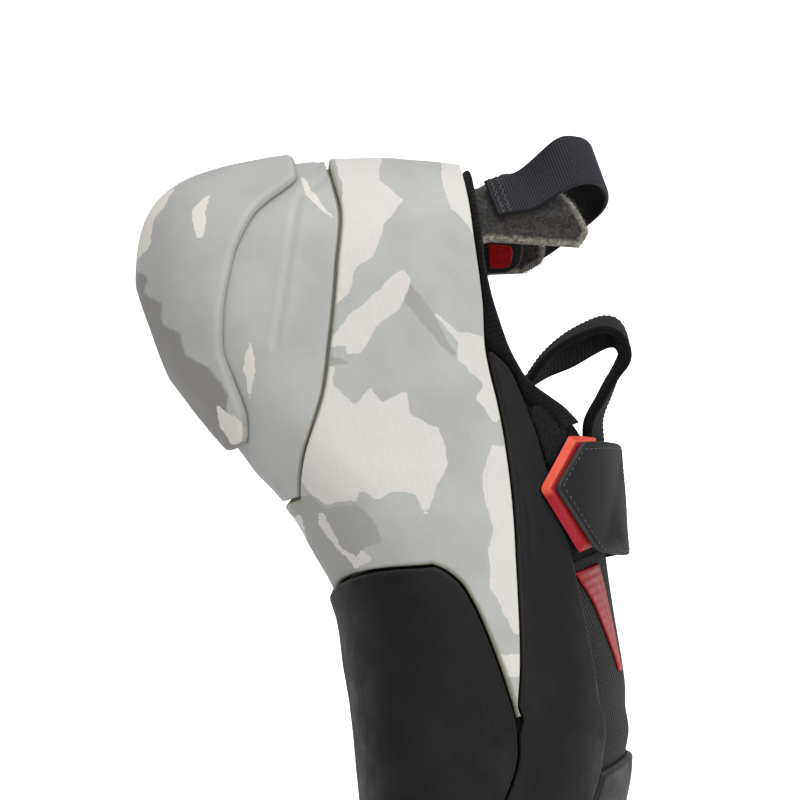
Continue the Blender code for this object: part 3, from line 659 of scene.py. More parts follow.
class Look:
    """One Principled material and short calls that add nodes to it."""

    def __init__(self, name, **sockets):
        self.made = bpy.data.materials.new(name)
        self.made.use_nodes = True
        self.tree = self.made.node_tree
        self.shader = self.tree.nodes['Principled BSDF']
        for key, value in sockets.items():
            self.shader.inputs[key.replace('_', ' ')].default_value = value
        self.place = self.tree.nodes.new('ShaderNodeTexCoord').outputs['Object']
        self.relief = None

    def feed(self, socket, value):
        if isinstance(value, bpy.types.NodeSocket):
            self.tree.links.new(value, socket)
        else:
            socket.default_value = value

    def node(self, kind, settings=None, **inputs):
        node = self.tree.nodes.new(kind)
        for key, value in (settings or {}).items():
            setattr(node, key, value)
        for key, value in inputs.items():
            self.feed(node.inputs[key.replace('_', ' ')], value)
        return node

    def maths(self, operation, *values):
        node = self.node('ShaderNodeMath', {'operation': operation})
        for socket, value in zip(node.inputs, values):
            self.feed(socket, value)
        return node.outputs[0]

    def moved(self, stretch, turn=(0, 0, 0)):
        """The place, stretched and turned by degrees."""
        node = self.node('ShaderNodeMapping', Vector=self.place, Scale=stretch,
                         Rotation=[math.radians(a) for a in turn])
        return node.outputs[0]

    def noise(self, size, detail=2.0, rough=0.5, where=None, distortion=0.0):
        """Soft noise round 0.5 with features of a size in metres."""
        node = self.node('ShaderNodeTexNoise', Vector=where or self.place,
                         Scale=1 / size, Detail=detail, Roughness=rough,
                         Distortion=distortion)
        return node.outputs['Fac']

    def cells(self, size):
        """Distance to the nearest of scattered points, in shares of their size."""
        node = self.node('ShaderNodeTexVoronoi', Vector=self.place, Scale=1 / size)
        return node.outputs['Distance']

    def waves(self, value, pitch):
        """Even ribs from -1 to 1 along a length in metres."""
        return self.maths('SINE', self.maths('MULTIPLY', value, 2 * math.pi / pitch))

    def band(self, value, low, high, start=0.0, end=1.0):
        node = self.node('ShaderNodeMapRange', {'interpolation_type': 'SMOOTHSTEP'})
        for socket, item in zip(node.inputs, (value, low, high, start, end)):
            self.feed(socket, item)
        return node.outputs[0]

    def tone(self, factor, a, b):
        node = self.node('ShaderNodeMix', {'data_type': 'RGBA'})
        for index, item in ((0, factor), (6, a), (7, b)):
            self.feed(node.inputs[index], item)
        return node.outputs[2]

    def over(self, under, top, value, low, high, share=1.0):
        """Colour top over colour under, as far as a value goes from low to high."""
        return self.tone(self.band(value, low, high, 0.0, share), under, top)

    def stored(self, name):
        """A number kept at each point of the mesh."""
        return self.node('ShaderNodeAttribute', {'attribute_name': name}).outputs['Fac']

    def spread(self, vector, *wanted):
        parts = self.node('ShaderNodeSeparateXYZ', Vector=vector).outputs
        return [parts['XYZ'.index(axis)] for axis in wanted]

    def bump(self, height, depth, strength=1.0):
        """Adds a relief whose height of 0 to 1 stands for a depth in metres."""
        node = self.node('ShaderNodeBump', Height=height, Strength=strength,
                         Distance=depth)
        if self.relief is not None:
            self.feed(node.inputs['Normal'], self.relief)
        self.relief = node.outputs[0]

    def finish(self, colour, roughness=None):
        self.feed(self.shader.inputs['Base Color'], colour)
        if roughness is not None:
            self.feed(self.shader.inputs['Roughness'], roughness)
        if self.relief is not None:
            self.feed(self.shader.inputs['Normal'], self.relief)
        return self.made


WHITE = srgb(228, 224, 219)
CREAM = srgb(238, 233, 224)
LIGHT_GREY = srgb(192, 194, 190)
MID_GREY = srgb(172, 171, 167)
DARK_GREY = srgb(150, 147, 143)
EDGE_YELLOW = srgb(206, 203, 172)
EDGE_GREY = srgb(170, 168, 162)
CLOUD_GREY = srgb(183, 184, 181)
SCUFF_GREY = srgb(140, 136, 130)
STROKE_GREY = srgb(160, 158, 155)


def grey_rubber(name, pale, rim, brushed=False):
    """Moulded rubber in greys; the stored fields place its blotches, and one of them a
    painted shade.
    """
    look = Look(name, Specular_IOR_Level=0.42, Coat_Weight=0.06, Coat_Roughness=0.35)
    jag = look.maths('MULTIPLY_ADD', look.noise(0.0018, 2.0, 0.6), 0.20, -0.325)
    jag = look.maths('MULTIPLY_ADD', look.noise(0.006, 2.0, 0.55), 0.45, jag)
    colour = look.over(LIGHT_GREY, CLOUD_GREY, look.noise(0.018, 3.0), 0.35, 0.7)
    # The field toned with DARK_GREY is painted shade over the lower part of the heel patch
    for field, top, soft in (('dark', MID_GREY, 0.04), ('deep', DARK_GREY, 0.10),
                             ('pale', pale, 0.02)):
        value = look.maths('ADD', look.stored(field), jag)
        colour = look.over(colour, top, value, -soft, soft)
    colour = look.over(colour, rim, look.stored('edge'), 0.00075, 0.0003, 0.75)
    colour = look.over(colour, DARK_GREY, look.cells(0.0035), 0.06, 0.02, 0.12)
    scuff = look.noise(0.004, 6.0, 0.7, look.moved((1, 1, 0.25)))
    colour = look.over(colour, SCUFF_GREY, scuff, 0.62, 0.78, 0.16)
    if brushed:
        strokes = look.noise(0.0007, 3.0, 0.6, look.moved((1, 0.12, 1), (20, 0, 0)))
        look.bump(strokes, 0.00005, 0.6)
        colour = look.over(colour, STROKE_GREY, strokes, 0.45, 0.75, 0.10)
    look.bump(look.noise(0.0009, 4.0, 0.6), 0.00010, 0.55)
    look.bump(look.noise(0.006, 2.0), 0.00022, 0.5)
    return look.finish(colour, look.band(look.noise(0.010, 3.0), 0.3, 0.7, 0.44, 0.60))


def black_rubber(name, colour, worn, brushed):
    """Rubber with soft clouds of wear, brush strokes, some dust and a painted highlight along
    its edges.
    """
    look = Look(name, Specular_IOR_Level=0.26, Coat_Weight=0.03, Coat_Roughness=0.4)
    strokes = look.noise(0.0009, 3.0, 0.6, look.moved((1, 0.10, 1), (20, 0, 0)))
    dust = look.noise(0.0013, 5.0, 0.75)
    shade = look.over(colour, worn, look.noise(0.020, 4.0, 0.6), 0.38, 0.72, 0.8)
    shade = look.over(shade, worn, strokes, 0.5, 0.8, brushed)
    shade = look.over(shade, srgb(62, 60, 58), dust, 0.63, 0.75, 0.25)
    # Painted highlight along the rounded edges
    shade = look.over(shade, srgb(66, 65, 66), look.stored('edge'), 0.0009, 0.0003, 0.55)
    look.bump(strokes, 0.00004, 0.5)
    look.bump(look.noise(0.0011, 4.0, 0.65), 0.00009, 0.5)
    look.bump(look.noise(0.007, 2.0), 0.00020, 0.4)
    rough = look.band(look.noise(0.011, 4.0, 0.6), 0.3, 0.7, 0.42, 0.62)
    return look.finish(shade, rough)


def knit(name, colour, fleck, pitch=0.0009):
    """Fine rows of small stitches, seen as slanted pairs."""
    look = Look(name, Sheen_Weight=0.08, Sheen_Roughness=0.6, Specular_IOR_Level=0.12)
    y, z = look.spread(look.place, 'Y', 'Z')
    slant = look.maths('ADD', y, look.maths('MULTIPLY', z, 0.35))
    stitch = look.maths('MULTIPLY', look.waves(slant, pitch), look.waves(z, pitch * 0.8))
    thread = look.noise(0.00035, 3.0, 0.7)
    height = look.maths('MULTIPLY_ADD', stitch, 0.4, thread)
    look.bump(height, 0.00022, 0.9)
    # Painted shade in the hollows between stitches
    shade = look.over(srgb(4, 4, 5), colour, height, 0.3, 1.1)
    return look.finish(look.over(shade, fleck, thread, 0.60, 0.74, 0.5), 0.88)


def ribbed_cloth(name):
    """Corrugated textile of the forefoot: threads on and between the ribs."""
    look = Look(name, Sheen_Weight=0.05, Sheen_Roughness=0.5, Specular_IOR_Level=0.22)
    thread = look.noise(0.0003, 3.0, 0.7)
    top = look.band(look.stored('rib'), -0.7, 0.9)
    # Painted shade in the valleys between the ribs
    shade = look.tone(top, srgb(5, 5, 5), srgb(44, 43, 42))
    shade = look.over(shade, srgb(92, 90, 86), thread, 0.5, 0.72, 0.6)
    look.bump(thread, 0.00012, 0.8)
    return look.finish(shade, look.band(top, 0.0, 1.0, 0.85, 0.6))


def pile(name):
    look = Look(name, Sheen_Weight=0.1, Sheen_Roughness=0.5, Specular_IOR_Level=0.15)
    thread = look.noise(0.0012, 3.0, 0.7)
    look.bump(thread, 0.0004, 0.8)
    return look.finish(look.over(srgb(9, 9, 10), srgb(38, 38, 38), thread, 0.4, 0.7), 0.8)


def red_film(name):
    """Glossy film whose long wrinkles catch the light."""
    look = Look(name, Specular_IOR_Level=0.4, Coat_Weight=0.15, Coat_Roughness=0.2)
    fine = look.noise(0.0016, 3.0, 0.6, look.moved((1, 0.12, 1)))
    y, = look.spread(look.place, 'Y')
    shade = look.over(srgb(150, 4, 18), srgb(178, 30, 26), y, 0.100, 0.130)
    # Painted highlights along the wrinkles
    shade = look.over(shade, srgb(190, 52, 40), fine, 0.58, 0.78, 0.25)
    look.bump(fine, 0.00012, 0.6)
    return look.finish(shade, look.band(fine, 0.3, 0.7, 0.34, 0.48))


def strap_weave(name):
    look = Look(name, Sheen_Weight=0.03, Specular_IOR_Level=0.28)
    edge = look.stored('edge')
    thread = look.noise(0.0004, 3.0, 0.7)
    # Painted shade in the valleys between the ribs
    shade = look.over(srgb(5, 5, 6), srgb(32, 33, 34), look.stored('rib'), -0.6, 0.9)
    shade = look.over(shade, srgb(66, 66, 66), thread, 0.55, 0.75, 0.3)
    shade = look.over(shade, srgb(22, 23, 24), edge, 0.0013, 0.0009)
    shade = look.over(shade, srgb(98, 98, 98), edge, 0.0004, 0.0001, 0.6)
    look.bump(thread, 0.00010, 0.7)
    return look.finish(shade, 0.58)


def moulded_red(name):
    """Matt red rubber with a painted highlight on its bevel behind, painted shade on its
    bevel below and a painted shadow next to the strap.
    """
    look = Look(name, Specular_IOR_Level=0.35, Coat_Weight=0.08, Coat_Roughness=0.3)
    y, = look.spread(look.place, 'Y')
    # Painted highlight on the rear bevel, painted shade on the bevel below
    bevel = look.over(srgb(176, 8, 34), srgb(238, 84, 58), y, 0.0735, 0.0715)
    shade = look.tone(look.noise(0.012, 2.0), srgb(186, 52, 44), srgb(196, 60, 50))
    # Painted shadow in a band next to the strap
    shade = look.over(shade, srgb(150, 10, 20), look.stored('inner'), 0.0040, 0.0010, 0.7)
    shade = look.over(shade, bevel, look.stored('edge'), 0.0019, 0.0016)
    look.bump(look.noise(0.0008, 3.0), 0.00005, 0.5)
    return look.finish(shade, look.band(look.noise(0.004, 3.0), 0.3, 0.7, 0.42, 0.52))


def felt(name):
    """Pressed heather fibres, paler where the rim is cut."""
    look = Look(name, Sheen_Weight=0.4, Sheen_Roughness=0.5, Specular_IOR_Level=0.15)
    fibre = look.noise(0.0011, 5.0, 0.8, distortion=1.2)
    shade = look.over(srgb(24, 23, 23), srgb(84, 80, 76), fibre, 0.35, 0.68)
    pale = look.over(srgb(92, 87, 78), srgb(205, 198, 184), fibre, 0.35, 0.68)
    shade = look.over(shade, pale, look.stored('edge'), 0.0021, 0.0006)
    look.bump(fibre, 0.0005, 0.9)
    look.bump(look.noise(0.003, 3.0, 0.6), 0.0008, 0.5)
    return look.finish(shade, 0.95)


def webbing(name):
    look = Look(name, Sheen_Weight=0.06, Sheen_Roughness=0.45, Specular_IOR_Level=0.30)
    fine = look.waves(look.stored('wide'), 0.00042)
    # Painted shade in the valleys between the ribs
    shade = look.over(srgb(7, 7, 11), srgb(50, 51, 62), look.stored('rib'), -0.8, 0.9)
    shade = look.over(shade, srgb(72, 73, 84), fine, -0.2, 1.0, 0.3)
    shade = look.over(shade, srgb(18, 19, 24), look.stored('edge'), 0.0007, 0.0003)
    # Painted shade near black over the loop's top and far leg
    shade = look.over(shade, srgb(6, 6, 9), look.stored('fold'), 0.0, 1.0, 0.9)
    look.bump(look.maths('MULTIPLY_ADD', fine, 0.5, 0.5), 0.00006, 0.7)
    return look.finish(shade, 0.55)


def thread_look(name, colour):
    look = Look(name, Specular_IOR_Level=0.4)
    twist = look.noise(0.00025, 2.0)
    look.bump(twist, 0.0001, 0.7)
    return look.finish(look.tone(twist, colour, srgb(20, 20, 20)), 0.6)


def lining(name, light, dark):
    """Brushed microfibre inside the shoe."""
    look = Look(name, Sheen_Weight=0.3, Sheen_Roughness=0.5, Specular_IOR_Level=0.2)
    nap = look.noise(0.0008, 4.0, 0.7)
    shade = look.over(dark, light, nap, 0.35, 0.7)
    shade = look.over(shade, dark, look.noise(0.012, 3.0), 0.4, 0.7, 0.4)
    look.bump(nap, 0.00025, 0.7)
    return look.finish(shade, 0.9)


CUP_RUBBER = grey_rubber("cup_rubber", CREAM, EDGE_GREY)
SOLE_RUBBER = grey_rubber("heel_sole_rubber", CREAM, EDGE_GREY)
CAMO_RUBBER = grey_rubber("mottled_rand_rubber", WHITE, EDGE_YELLOW, brushed=True)
OUTSOLE_RUBBER = black_rubber("outsole_rubber", srgb(8, 7, 7), srgb(28, 26, 25), 0.40)
RAND_RUBBER = black_rubber("side_rubber", srgb(14, 14, 16), srgb(28, 28, 31), 0.15)
TOE_RUBBER = black_rubber("toe_rubber", srgb(20, 20, 22), srgb(38, 37, 38), 0.2)
UPPER_KNIT = knit("upper_knit", srgb(20, 20, 20), srgb(48, 48, 48))
BINDING_KNIT = knit("binding_knit", srgb(24, 24, 25), srgb(96, 96, 97), 0.0007)
TONGUE_KNIT = knit("tongue_knit", srgb(17, 16, 18), srgb(52, 52, 53))
UPPER_LINING = lining("upper_lining", srgb(74, 72, 70), srgb(38, 37, 37))
FOOTBED_CLOTH = lining("footbed_cloth", srgb(150, 142, 130), srgb(104, 98, 90))
RIB_CLOTH = ribbed_cloth("ribbed_cloth")
PILE_CLOTH = pile("pile_cloth")
RED_FILM = red_film("red_film")
STRAP_WEAVE = strap_weave("strap_weave")
RED_MOULDED = moulded_red("red_moulded")
HEATHER_FELT = felt("heather_felt")
LOOP_WEBBING = webbing("loop_webbing")
GREY_THREAD = thread_look("grey_thread", srgb(150, 150, 150))
PILE_FIBRE = thread_look("pile_fibre", srgb(58, 58, 60))
FELT_FIBRE = thread_look("felt_fibre", srgb(176, 168, 154))
FLAP_LINING = lining("flap_lining", srgb(48, 47, 49), srgb(32, 31, 33))
FLAP_RED = lining("flap_red", srgb(214, 12, 18), srgb(160, 4, 12))


# Pieces


def inside_shapes(here, shapes):
    """Distance into the nearest of some outlines drawn in side view."""
    best = np.full(len(here), -1.0)
    for shape in shapes:
        corners = np.array(shape, float) / 1000
        gone = np.full(len(here), 1.0)
        inside = np.zeros(len(here), bool)
        for a, b in zip(corners, np.roll(corners, -1, axis=0)):
            run = b - a
            t = np.clip((here - a) @ run / (run @ run), 0, 1)
            gone = np.minimum(gone, np.linalg.norm(here - a - t[:, None] * run, axis=1))
            rising = (a[1] > here[:, 1]) != (b[1] > here[:, 1])
            cut = a[0] + (here[:, 1] - a[1]) * run[0] / (run[1] or WELD)
            inside ^= rising & (here[:, 0] < cut)
        best = np.maximum(best, np.where(inside, gone, -gone))
    return best


# Pale and dark areas in side view: y from the heel's back and z, millimetres
CUP_PALE = (
    ((9.3, 25.6), (6.9, 30.0), (9.1, 34.7), (11.3, 35.5), (13.6, 31.0), (16.5, 33.1),
     (16.9, 27.6), (19.8, 24.5), (19.9, 20.4), (15.6, 20.9), (14.0, 24.7)),
    ((11.6, 49.1), (21.0, 52.2), (24.2, 53.6), (20.0, 50.4), (15.5, 48.3)),
    ((44.0, 24.0), (52.0, 23.0), (58.0, 19.5), (50.0, 20.5)),
)
SOLE_PALE = (
    ((-9.0, 18.1), (-3.9, 56.0), (1.6, 31.6), (3.8, 24.4), (5.2, 19.6), (8.8, 16.2),
     (10.0, 13.7), (15.0, 11.3), (17.5, 6.7), (13.1, 7.7), (9.3, 10.4), (10.9, 5.9),
     (8.0, 3.7)),
    ((9.3, 26.6), (12.8, 23.8), (18.3, 21.9), (18.2, 20.0), (11.6, 21.3)),
    ((56.2, 13.9), (60.7, 17.0), (66.4, 18.1), (65.9, 14.1), (60.8, 12.8)),
)
# Painted shade: a darker area over the lower part of the heel patch
SOLE_PAINTED_SHADE = (
    ((14.8, -0.9), (18.8, 5.7), (21.8, 8.4), (24.8, 6.1), (28.7, 9.5), (33.0, 8.0),
     (36.8, 10.8), (41.0, 10.6), (46.0, 14.1), (54.5, 17.0), (59.0, 15.0), (73.5, 17.6),
     (63.5, -2.7), (38.7, -6.9)),
)
RAND_PALE = (
    ((9.4, 58.2), (8.0, 66.0), (10.8, 76.0), (14.3, 69.1), (19.0, 67.2), (25.7, 71.1),
     (29.5, 64.4), (35.9, 59.3), (37.0, 54.4), (42.2, 50.1), (44.4, 45.4), (42.4, 45.2),
     (26.3, 53.5), (17.1, 58.1)),
    ((18.7, 83.1), (24.3, 88.2), (28.9, 88.8), (40.3, 84.6), (32.2, 82.0), (26.7, 81.1)),
    ((52.3, 40.4), (46.8, 49.4), (43.9, 57.2), (40.9, 65.1), (44.2, 66.0), (50.0, 60.8),
     (52.4, 54.1), (57.0, 48.1), (56.4, 43.5), (54.3, 45.3)),
    ((53.8, 68.6), (60.1, 72.6), (66.3, 82.3), (84.0, 77.5), (84.4, 72.9), (77.9, 71.0),
     (75.0, 73.5), (66.5, 70.3), (62.9, 71.6)),
    ((63.6, 31.7), (57.4, 38.8), (57.9, 41.5), (61.5, 39.2), (68.5, 42.5), (66.0, 47.5),
     (70.4, 49.1), (69.8, 55.4), (76.3, 54.5), (81.2, 60.1), (86.3, 59.7), (90.7, 58.4),
     (95.8, 53.8), (101.3, 49.2), (94.3, 48.5), (92.7, 45.3), (92.7, 39.9), (88.8, 37.2),
     (91.6, 35.8), (89.3, 32.0), (89.6, 29.0), (85.0, 26.8), (80.5, 25.0), (84.7, 23.2),
     (79.9, 20.9), (73.4, 22.2)),
    ((89.6, 70.1), (90.8, 73.0), (98.9, 76.0), (106.3, 75.2), (136.2, 62.3),
     (135.5, 59.4), (127.5, 58.7), (123.3, 57.8), (113.8, 60.8), (110.7, 62.9),
     (105.4, 64.3), (101.5, 64.3), (96.3, 65.7)),
    ((88.8, 16.6), (88.9, 22.9), (93.2, 22.8), (99.2, 20.7), (105.2, 21.4),
     (108.1, 17.8), (100.0, 14.5), (92.2, 14.4)),
    ((89.9, 26.9), (90.8, 28.4), (95.2, 28.6), (100.6, 29.8), (104.4, 32.3),
     (102.6, 33.9), (106.3, 35.4), (107.2, 30.8), (104.8, 30.4), (100.0, 27.9),
     (93.4, 26.1)),
    ((105.5, 22.7), (109.3, 23.9), (113.6, 20.6), (111.1, 17.2), (107.8, 19.4)),
    ((137.2, 53.0), (139.5, 55.8), (141.3, 60.5), (146.2, 60.2), (144.2, 51.9)),
)
RAND_DARK = (
    ((84.1, 21.9), (85.4, 26.6), (90.1, 28.8), (92.0, 35.9), (97.8, 38.1),
     (102.7, 38.2), (103.0, 33.8), (105.5, 33.7), (112.0, 26.4), (110.3, 22.3),
     (104.7, 21.5), (99.3, 19.1), (93.2, 20.8), (88.4, 19.7)),
    ((46.6, 62.0), (45.0, 65.5), (53.6, 68.2), (62.9, 69.6), (66.5, 70.3), (61.9, 67.1),
     (53.3, 64.4)),
    ((53.1, 37.4), (56.4, 43.5), (58.8, 45.0), (57.9, 41.5), (57.4, 38.8), (62.3, 36.0),
     (63.2, 33.3)),
)
INNER_SHIFT = (0.007, -0.004)
TONE_REACH = 0.004


def tones(spots, **tables):
    """Fields that rise over 0 inside the traced areas, moved on the inner side."""
    here = spots.points[:, 1:] + np.where(spots.side[:, None] < 0, INNER_SHIFT, 0.0)
    return {key: np.clip(inside_shapes(here, tables.get(key, ())) / TONE_REACH, -1, 1)
            for key in ('pale', 'dark', 'deep')}


def threads(name, paths, radius, look, sides=5):
    """Many short closed threads, each a row of points, in one mesh."""
    paths = np.asarray(paths, float)
    count, rows = paths.shape[:2]
    radius = np.broadcast_to(radius, (rows,))
    run = unit(np.gradient(paths, axis=1))
    helper = np.where(np.abs(run[..., :1]) > 0.8, (0.0, 0.0, 1.0), (1.0, 0.0, 0.0))
    across = unit(np.cross(run, helper))
    upward = np.cross(run, across)
    turn = np.arange(sides) * 2 * np.pi / sides
    ring = (across[:, :, None] * np.cos(turn)[:, None]
            + upward[:, :, None] * np.sin(turn)[:, None])
    points = paths[:, :, None] + ring * radius[None, :, None, None]
    index = np.arange(rows * sides).reshape(rows, sides)
    beside = np.roll(index, -1, axis=1)
    walls = np.stack((index[:-1], beside[:-1], beside[1:], index[1:]), -1).reshape(-1, 4)
    start = np.arange(count) * rows * sides
    faces = (walls[None] + start[:, None, None]).reshape(-1, 4).tolist()
    ends = np.stack((index[0][::-1], index[-1]))
    faces += (ends[None] + start[:, None, None]).reshape(-1, sides).tolist()
    to_object(name, points.reshape(-1, 3), faces, [look])


def stitch_paths(line, normals, length, gap, sink, rise):
    """Short arched stitches along a line that lies on a piece."""
    run = run_lengths(line)
    starts = np.arange(gap, run[-1] - length, length + gap)
    shape = np.linspace(0, 1, 5)
    paths = []
    for start in starts:
        at = start + shape * length
        point = np.stack([np.interp(at, run, line[:, k]) for k in range(3)], -1)
        out = np.stack([np.interp(at, run, normals[:, k]) for k in range(3)], -1)
        height = mix(-sink, rise, np.sin(np.pi * shape))[:, None]
        paths.append(point + out * height)
    return paths


def fibre_paths(roots, normals, length, lean, seed, sink=0.0002):
    """Bent fibres from their roots, each leaning its own way."""
    rng = np.random.default_rng(seed)
    count = len(roots)
    away = rng.normal(size=(count, 3))
    away = unit(away - normals * np.sum(away * normals, axis=1, keepdims=True))
    reach = length * rng.uniform(0.5, 1.2, size=(count, 1))
    t = np.array((0.0, 0.4, 0.75, 1.0))[None, :, None]
    stand = (normals * reach)[:, None] * t * (1 - 0.35 * lean * t)
    return (roots - normals * sink)[:, None] + stand + (away * reach * lean)[:, None] * t**2


def make_upper():
    """Hollow shell: knit outside, lining inside."""
    step = 0.0017
    front = seat(THROAT_FRONT)
    mouth = up_at(front, COLLAR_LINE, -EDGE_GAP)
    us = along(0, front, step)
    rear = block(us, LASTING_MARGIN, up_at(us, COLLAR_LINE, -EDGE_GAP), step)
    count = rear[0].shape[1] - 1
    ahead = along(front, 3, step, first=True)
    below = block(ahead, LASTING_MARGIN, mouth, step, count=count)
    above = block(ahead, mouth, 2.0, step, first=False, last=False)
    spots = Spots(on_both_sides([rear, below, above]))
    layer("upper_shell", spots, -UPPER_WALL, UPPER_WALL, UPPER_KNIT, "upper",
          0.0014, inside=UPPER_LINING)


def make_vamp_cloth():
    """Diagonal ribs over the forefoot, between the rubber and the ridge."""
    pitch, height = 0.00095, 0.00017
    lengthwise, downward = 0.866, 0.5
    us = along(place(0.497), place(TOE_PATCH_REAR + 0.012), 0.0003)
    low = up_at(us, SIDE_RAND_LINE, -0.0008)
    u, v, s = block(us, low, 2.0, 0.00042, first=False, last=False)
    fall = s[:, -1:] - s
    phase = lengthwise * last_point(u, v)[..., 1] - downward * fall
    spots = Spots(on_both_sides([(u, v, phase)]))
    rib = np.cos(2 * np.pi * spots.length / pitch)
    rib = np.sign(rib) * np.abs(rib)**0.7
    layer("vamp_cloth", spots, 0.00001, 0.00004, RIB_CLOTH, None, 0.0004,
          relief=height * (0.5 + 0.5 * rib), fields={'rib': rib})


def make_insole():
    spots = both(along(0, 3, 0.0022), 0.0, INSOLE_EDGE, None, first=False, count=22)
    plug = smooth(PLUG_STEP, PLUG_EDGE, spots.up)
    reach = mix(-UPPER_WALL - GAP, -EDGE_GAP, plug)
    low = -UPPER_WALL - GAP - INSOLE_THICK
    layer("footbed", spots, low, reach - low, FOOTBED_CLOTH, "insole", 0.0012)


def make_outsole():
    step = 0.0012
    rear = seat(OUTSOLE_REAR)
    bow = place(OUTSOLE_BOW) - place(0)
    us = along(rear, 3, step, first=True)
    top = up_at(us, OUTSOLE_LINE)
    u, v, s = block(us, 0.0, top, step, first=False)
    arch = np.sin(np.pi * np.clip(v / top[0], 0, 1))
    u = u - bow * arch * smooth(0.20, 0.0, u - rear)
    spots = Spots(on_both_sides([(u, v, s)]))
    thick = mix(OUTSOLE_THICK, OUTSOLE_SIDE_THICK, smooth(0.65, 1.15, spots.up))
    layer("forefoot_rubber", spots, GAP, thick, OUTSOLE_RUBBER, "outsole",
          0.0011, wave=(0.00010, 0.022, 3), floor=True)


GROOVE = ((0.050, 0.552), (0.058, 0.507), (0.062, 0.465), (0.078, 0.436),
          (0.106, 0.398), (0.142, 0.351), (0.177, 0.303), (0.192, 0.284))
GROOVE_TAIL = ((0.012, 0.520), (0.034, 0.532), (0.056, 0.505))
LIP_OFFSET, LIP_HEIGHT, LIP_WIDTH = 0.0016, 0.00016, 0.0009


def make_heel_cup():
    step = 0.0009
    us = along(0, seat(CUP_FRONT), step, last=True)
    spots = both(us, 0.0, up_at(us, CUP_LINE), step, first=False)
    trough = groove(spots, GROOVE, 0.00042, 0.0008)
    beside = spots.distance_to(GROOVE) - LIP_OFFSET
    lip = LIP_HEIGHT * np.exp(-(beside / LIP_WIDTH)**2)
    tail = groove(spots, GROOVE_TAIL, 0.00022, 0.0006)
    above = smooth(0.28, 0.40, spots.points[:, 2] / INSTEP_HEIGHT)
    layer("heel_cup_rubber", spots, GAP, CUP_THICK, CUP_RUBBER, "heel_cup",
          0.0008, trough + lip + tail * above, (0.00012, 0.018, 5),
          fields=tones(spots, pale=CUP_PALE))


def make_underlay():
    """Grey rubber that shows in the joint between the cup and the rand."""
    us = along(0, seat(CUP_FRONT), 0.0015)
    seam = both(us, up_at(us, CUP_LINE, -0.0015), up_at(us, CUP_LINE, 0.0020), 0.0006)
    us = np.linspace(seat(CUP_FRONT) - 0.02, seat(CUP_FRONT) + 0.02, 8)
    front = both(us, 0.0, up_at(us, CUP_LINE, 0.0015), 0.0015, first=False)
    for name, spots in (("seam_rubber", seam), ("arch_rubber", front)):
        layer(name, spots, 0.00004, 0.00020, CAMO_RUBBER, None,
              0.0002, fields=tones(spots))


def make_heel_sole():
    step = 0.0009
    us = along(0, seat(HEEL_PATCH_FRONT), step, last=True)
    top = up_at(us, lambda share: HEEL_PATCH_LINE(us))
    spots = both(us, 0.0, top, step, first=False)
    # The heel patch gets painted shade over its lower part
    layer("heel_sole_rubber", spots, GAP + CUP_THICK + EDGE_GAP, HEEL_PATCH_THICK,
          SOLE_RUBBER, "heel_sole", 0.0019, wave=(0.00010, 0.016, 7),
          floor=True, fields=tones(spots, pale=SOLE_PALE, deep=SOLE_PAINTED_SHADE))


def make_heel_rand():
    """Patterned rubber round the heel, joined under the arch."""
    step = 0.0010
    rear = seat(OUTSOLE_REAR)
    bow = place(OUTSOLE_BOW) - place(0)
    gap = place(EDGE_GAP / LENGTH) - place(0)
    joint, end = seat(CUP_FRONT) + gap, rear - gap
    low_at_joint = up_at(joint, CUP_LINE, EDGE_GAP)
    low_at_end = up_at(end, OUTSOLE_LINE, EDGE_GAP)

    def top(u):
        return up_at(u, HEEL_RAND_LINE)

    us = along(0, joint, step)
    back = block(us, up_at(us, CUP_LINE, EDGE_GAP), top(us), step)
    count = back[0].shape[1] - 1
    us = along(joint, end, step, True, True)
    far = (us - joint) / (end - joint)
    split = mix(low_at_joint, low_at_end, np.minimum(SPLIT_RISE * far, 1.0))
    u, v, s = block(us, 0.0, split, step, first=False, last=False)
    bowed = np.sin(np.pi * v / split[:, None]) * smooth(0, 1, far[:, None])
    bottom = (u - bow * bowed, v, s)
    above = block(us, split, top(us), step, count=count)
    us = along(end, seat(RAND_TIP), step, False, True)
    ahead = block(us, up_at(us, OUTSOLE_LINE, EDGE_GAP), top(us), step, count=count)
    spots = Spots(on_both_sides([back, bottom, above, ahead]))
    layer("heel_rand_rubber", spots, GAP, RAND_THICK, CAMO_RUBBER, "rand_heel",
          0.0009, wave=(0.00014, 0.024, 11),
          fields=tones(spots, pale=RAND_PALE, dark=RAND_DARK))


SEAM = ((0.390, 0.735), (0.440, 0.715), (0.478, 0.690), (0.512, 0.712),
        (0.541, 0.675), (0.561, 0.592), (0.590, 0.560))
SEAM_HIGH = ((0.300, 0.760), (0.400, 0.722), (0.480, 0.664), (0.560, 0.600))


def make_side_rand():
    step = 0.0011
    tip = seat(RAND_TIP)
    us = along(seat(SIDE_RAND_START), 3, step, first=True)
    low = mix(up_at(us, HEEL_RAND_LINE, EDGE_GAP), up_at(us, OUTSOLE_LINE, EDGE_GAP),
              smooth(tip, tip + 0.03, us))
    spots = both(us, low, up_at(us, SIDE_RAND_LINE), step)
    seam = groove(spots, SEAM, 0.00026, 0.0006)
    high = groove(spots, SEAM_HIGH, 0.00020, 0.0006)
    layer("side_rand_rubber", spots, GAP, SIDE_RAND_THICK, RAND_RUBBER, "rand_side",
          0.0011, seam + high, (0.00010, 0.020, 13))


def make_toe_patch():
    step = 0.0013
    us = along(seat(TOE_PATCH_REAR), 3, step, first=True)
    spots = both(us, up_at(us, SIDE_RAND_LINE, EDGE_GAP), 2.0, step, last=False)
    layer("toe_patch_rubber", spots, GAP, SIDE_RAND_THICK, TOE_RUBBER, "toe_patch",
          0.0012, wave=(0.00008, 0.016, 17))


